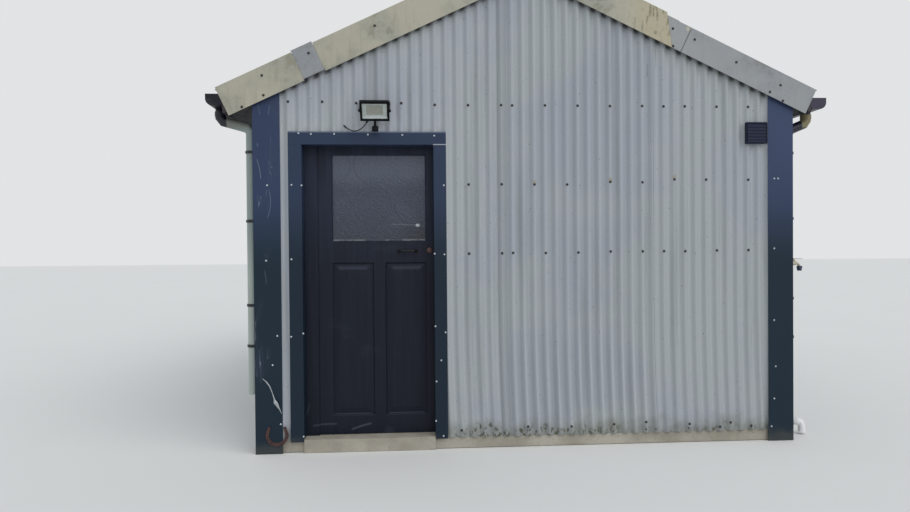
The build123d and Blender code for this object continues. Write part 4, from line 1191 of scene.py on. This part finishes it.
# Painted reflection: a bright band low on the reflector.
mirror.patch((236, 240, 243), mirror.span(mirror.z, glass_mid.z - 0.024, glass_mid.z - 0.030))
mirror.done(None, haze, 0.0004)
plate = Finish("led_plate", rough=0.45)
dots = plate.node("ShaderNodeTexVoronoi", {"Vector": plate.place, "Scale": 110}).outputs["Distance"]
plate.colour = plate.blend(plate.span(dots, 0.2, 0.34), (176, 172, 146), (158, 158, 142))
plate.done(None, dots, 0.0005)
print("lamp glass round", [round(n, 3) for n in glass_mid])

# %% Reflector
lamp_tilt = math.radians(41)
lamp_out = Vector((0, -math.cos(lamp_tilt), -math.sin(lamp_tilt)))
lamp_up = Vector((0, -math.sin(lamp_tilt), math.cos(lamp_tilt)))
tray_wide, tray_tall, tray_deep, side_slope = 0.165, 0.114, 0.004, 0.026
plate_share, plate_rise = (0.86, 0.94, 1), 0.006
behind_glass = 0.0035
bm = grid(1, 1, tray_wide, tray_tall)
bmesh.ops.inset_region(bm, faces=bm.faces[:], thickness=side_slope, depth=-tray_deep, use_boundary=True)
sources = min(bm.faces, key=lambda f: f.calc_center_median().length)
sources.material_index = 1
bmesh.ops.scale(bm, vec=plate_share, verts=sources.verts)
bmesh.ops.translate(bm, vec=(0, plate_rise, 0), verts=sources.verts)
stand(bm, glass_mid - lamp_out * behind_glass, along_x, lamp_up, lamp_out)
reflector = finished("reflector", bm, "reflector_metal")
reflector.data.materials.append(finishes["led_plate"])

# %% [markdown]
# The glass in front of it is clear. A transmitting shader darkens what lies in the shallow
# tray, so the pane is mostly see-through by its alpha, and only its gloss shows.

# %% Clear glass of the floodlight
clear = Finish("clear_glass", rough=0.08)
clear.fill(clear.shader, {"Alpha": 0.16})
film = clear.noise(30, 4)
clear.colour = clear.blend(film, (206, 212, 210), (180, 184, 182))
clear.done(None, film, 0.0001)
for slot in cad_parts["floodlight_glass"].material_slots:
    slot.material = finishes["clear_glass"]
print("clear glass on the lamp")

# %% [markdown]
# ## Lock ring
# The lock sits in a tarnished copper-coloured ring at the right edge of the door. It is turned
# from a short profile, so it is spun: a few vertices are laid out in a half section and
# revolved about the lock's own axis.

# %% Spun lock ring
lock_place = (-0.693, -2.330, 1.371)
ring_profile = [
    (0.0001, 0.0126), (0.0060, 0.0121), (0.0095, 0.0104), (0.0108, 0.0096), (0.0150, 0.0106),
    (0.0184, 0.0096), (0.0196, 0.0066), (0.0196, 0.0002), (0.0001, 0.0002),
]
bm = bmesh.new()
verts = [bm.verts.new((radius, 0, height)) for radius, height in ring_profile]
edges = [bm.edges.new(pair) for pair in zip(verts, verts[1:])]
bmesh.ops.spin(
    bm, geom=verts + edges, cent=(0, 0, 0), axis=(0, 0, 1), angle=math.tau, steps=32, use_merge=True,
)
bmesh.ops.remove_doubles(bm, verts=bm.verts, dist=0.00001)
bmesh.ops.recalc_face_normals(bm, faces=bm.faces)
aim = Vector(outward).to_track_quat("Z", "Y").to_matrix().to_4x4()
bmesh.ops.transform(bm, matrix=Matrix.Translation(lock_place) @ aim, verts=bm.verts)
finished("lock_ring", bm, "copper_ring", body="door", smooth=True)

# %% [markdown]
# ## The length of the flex
# The flex is measured along its control points.

measured = sum((Vector(b) - Vector(a)).length for a, b in zip(flex_points, flex_points[1:]))
print("flex runs", round(measured, 3), "m between its points")
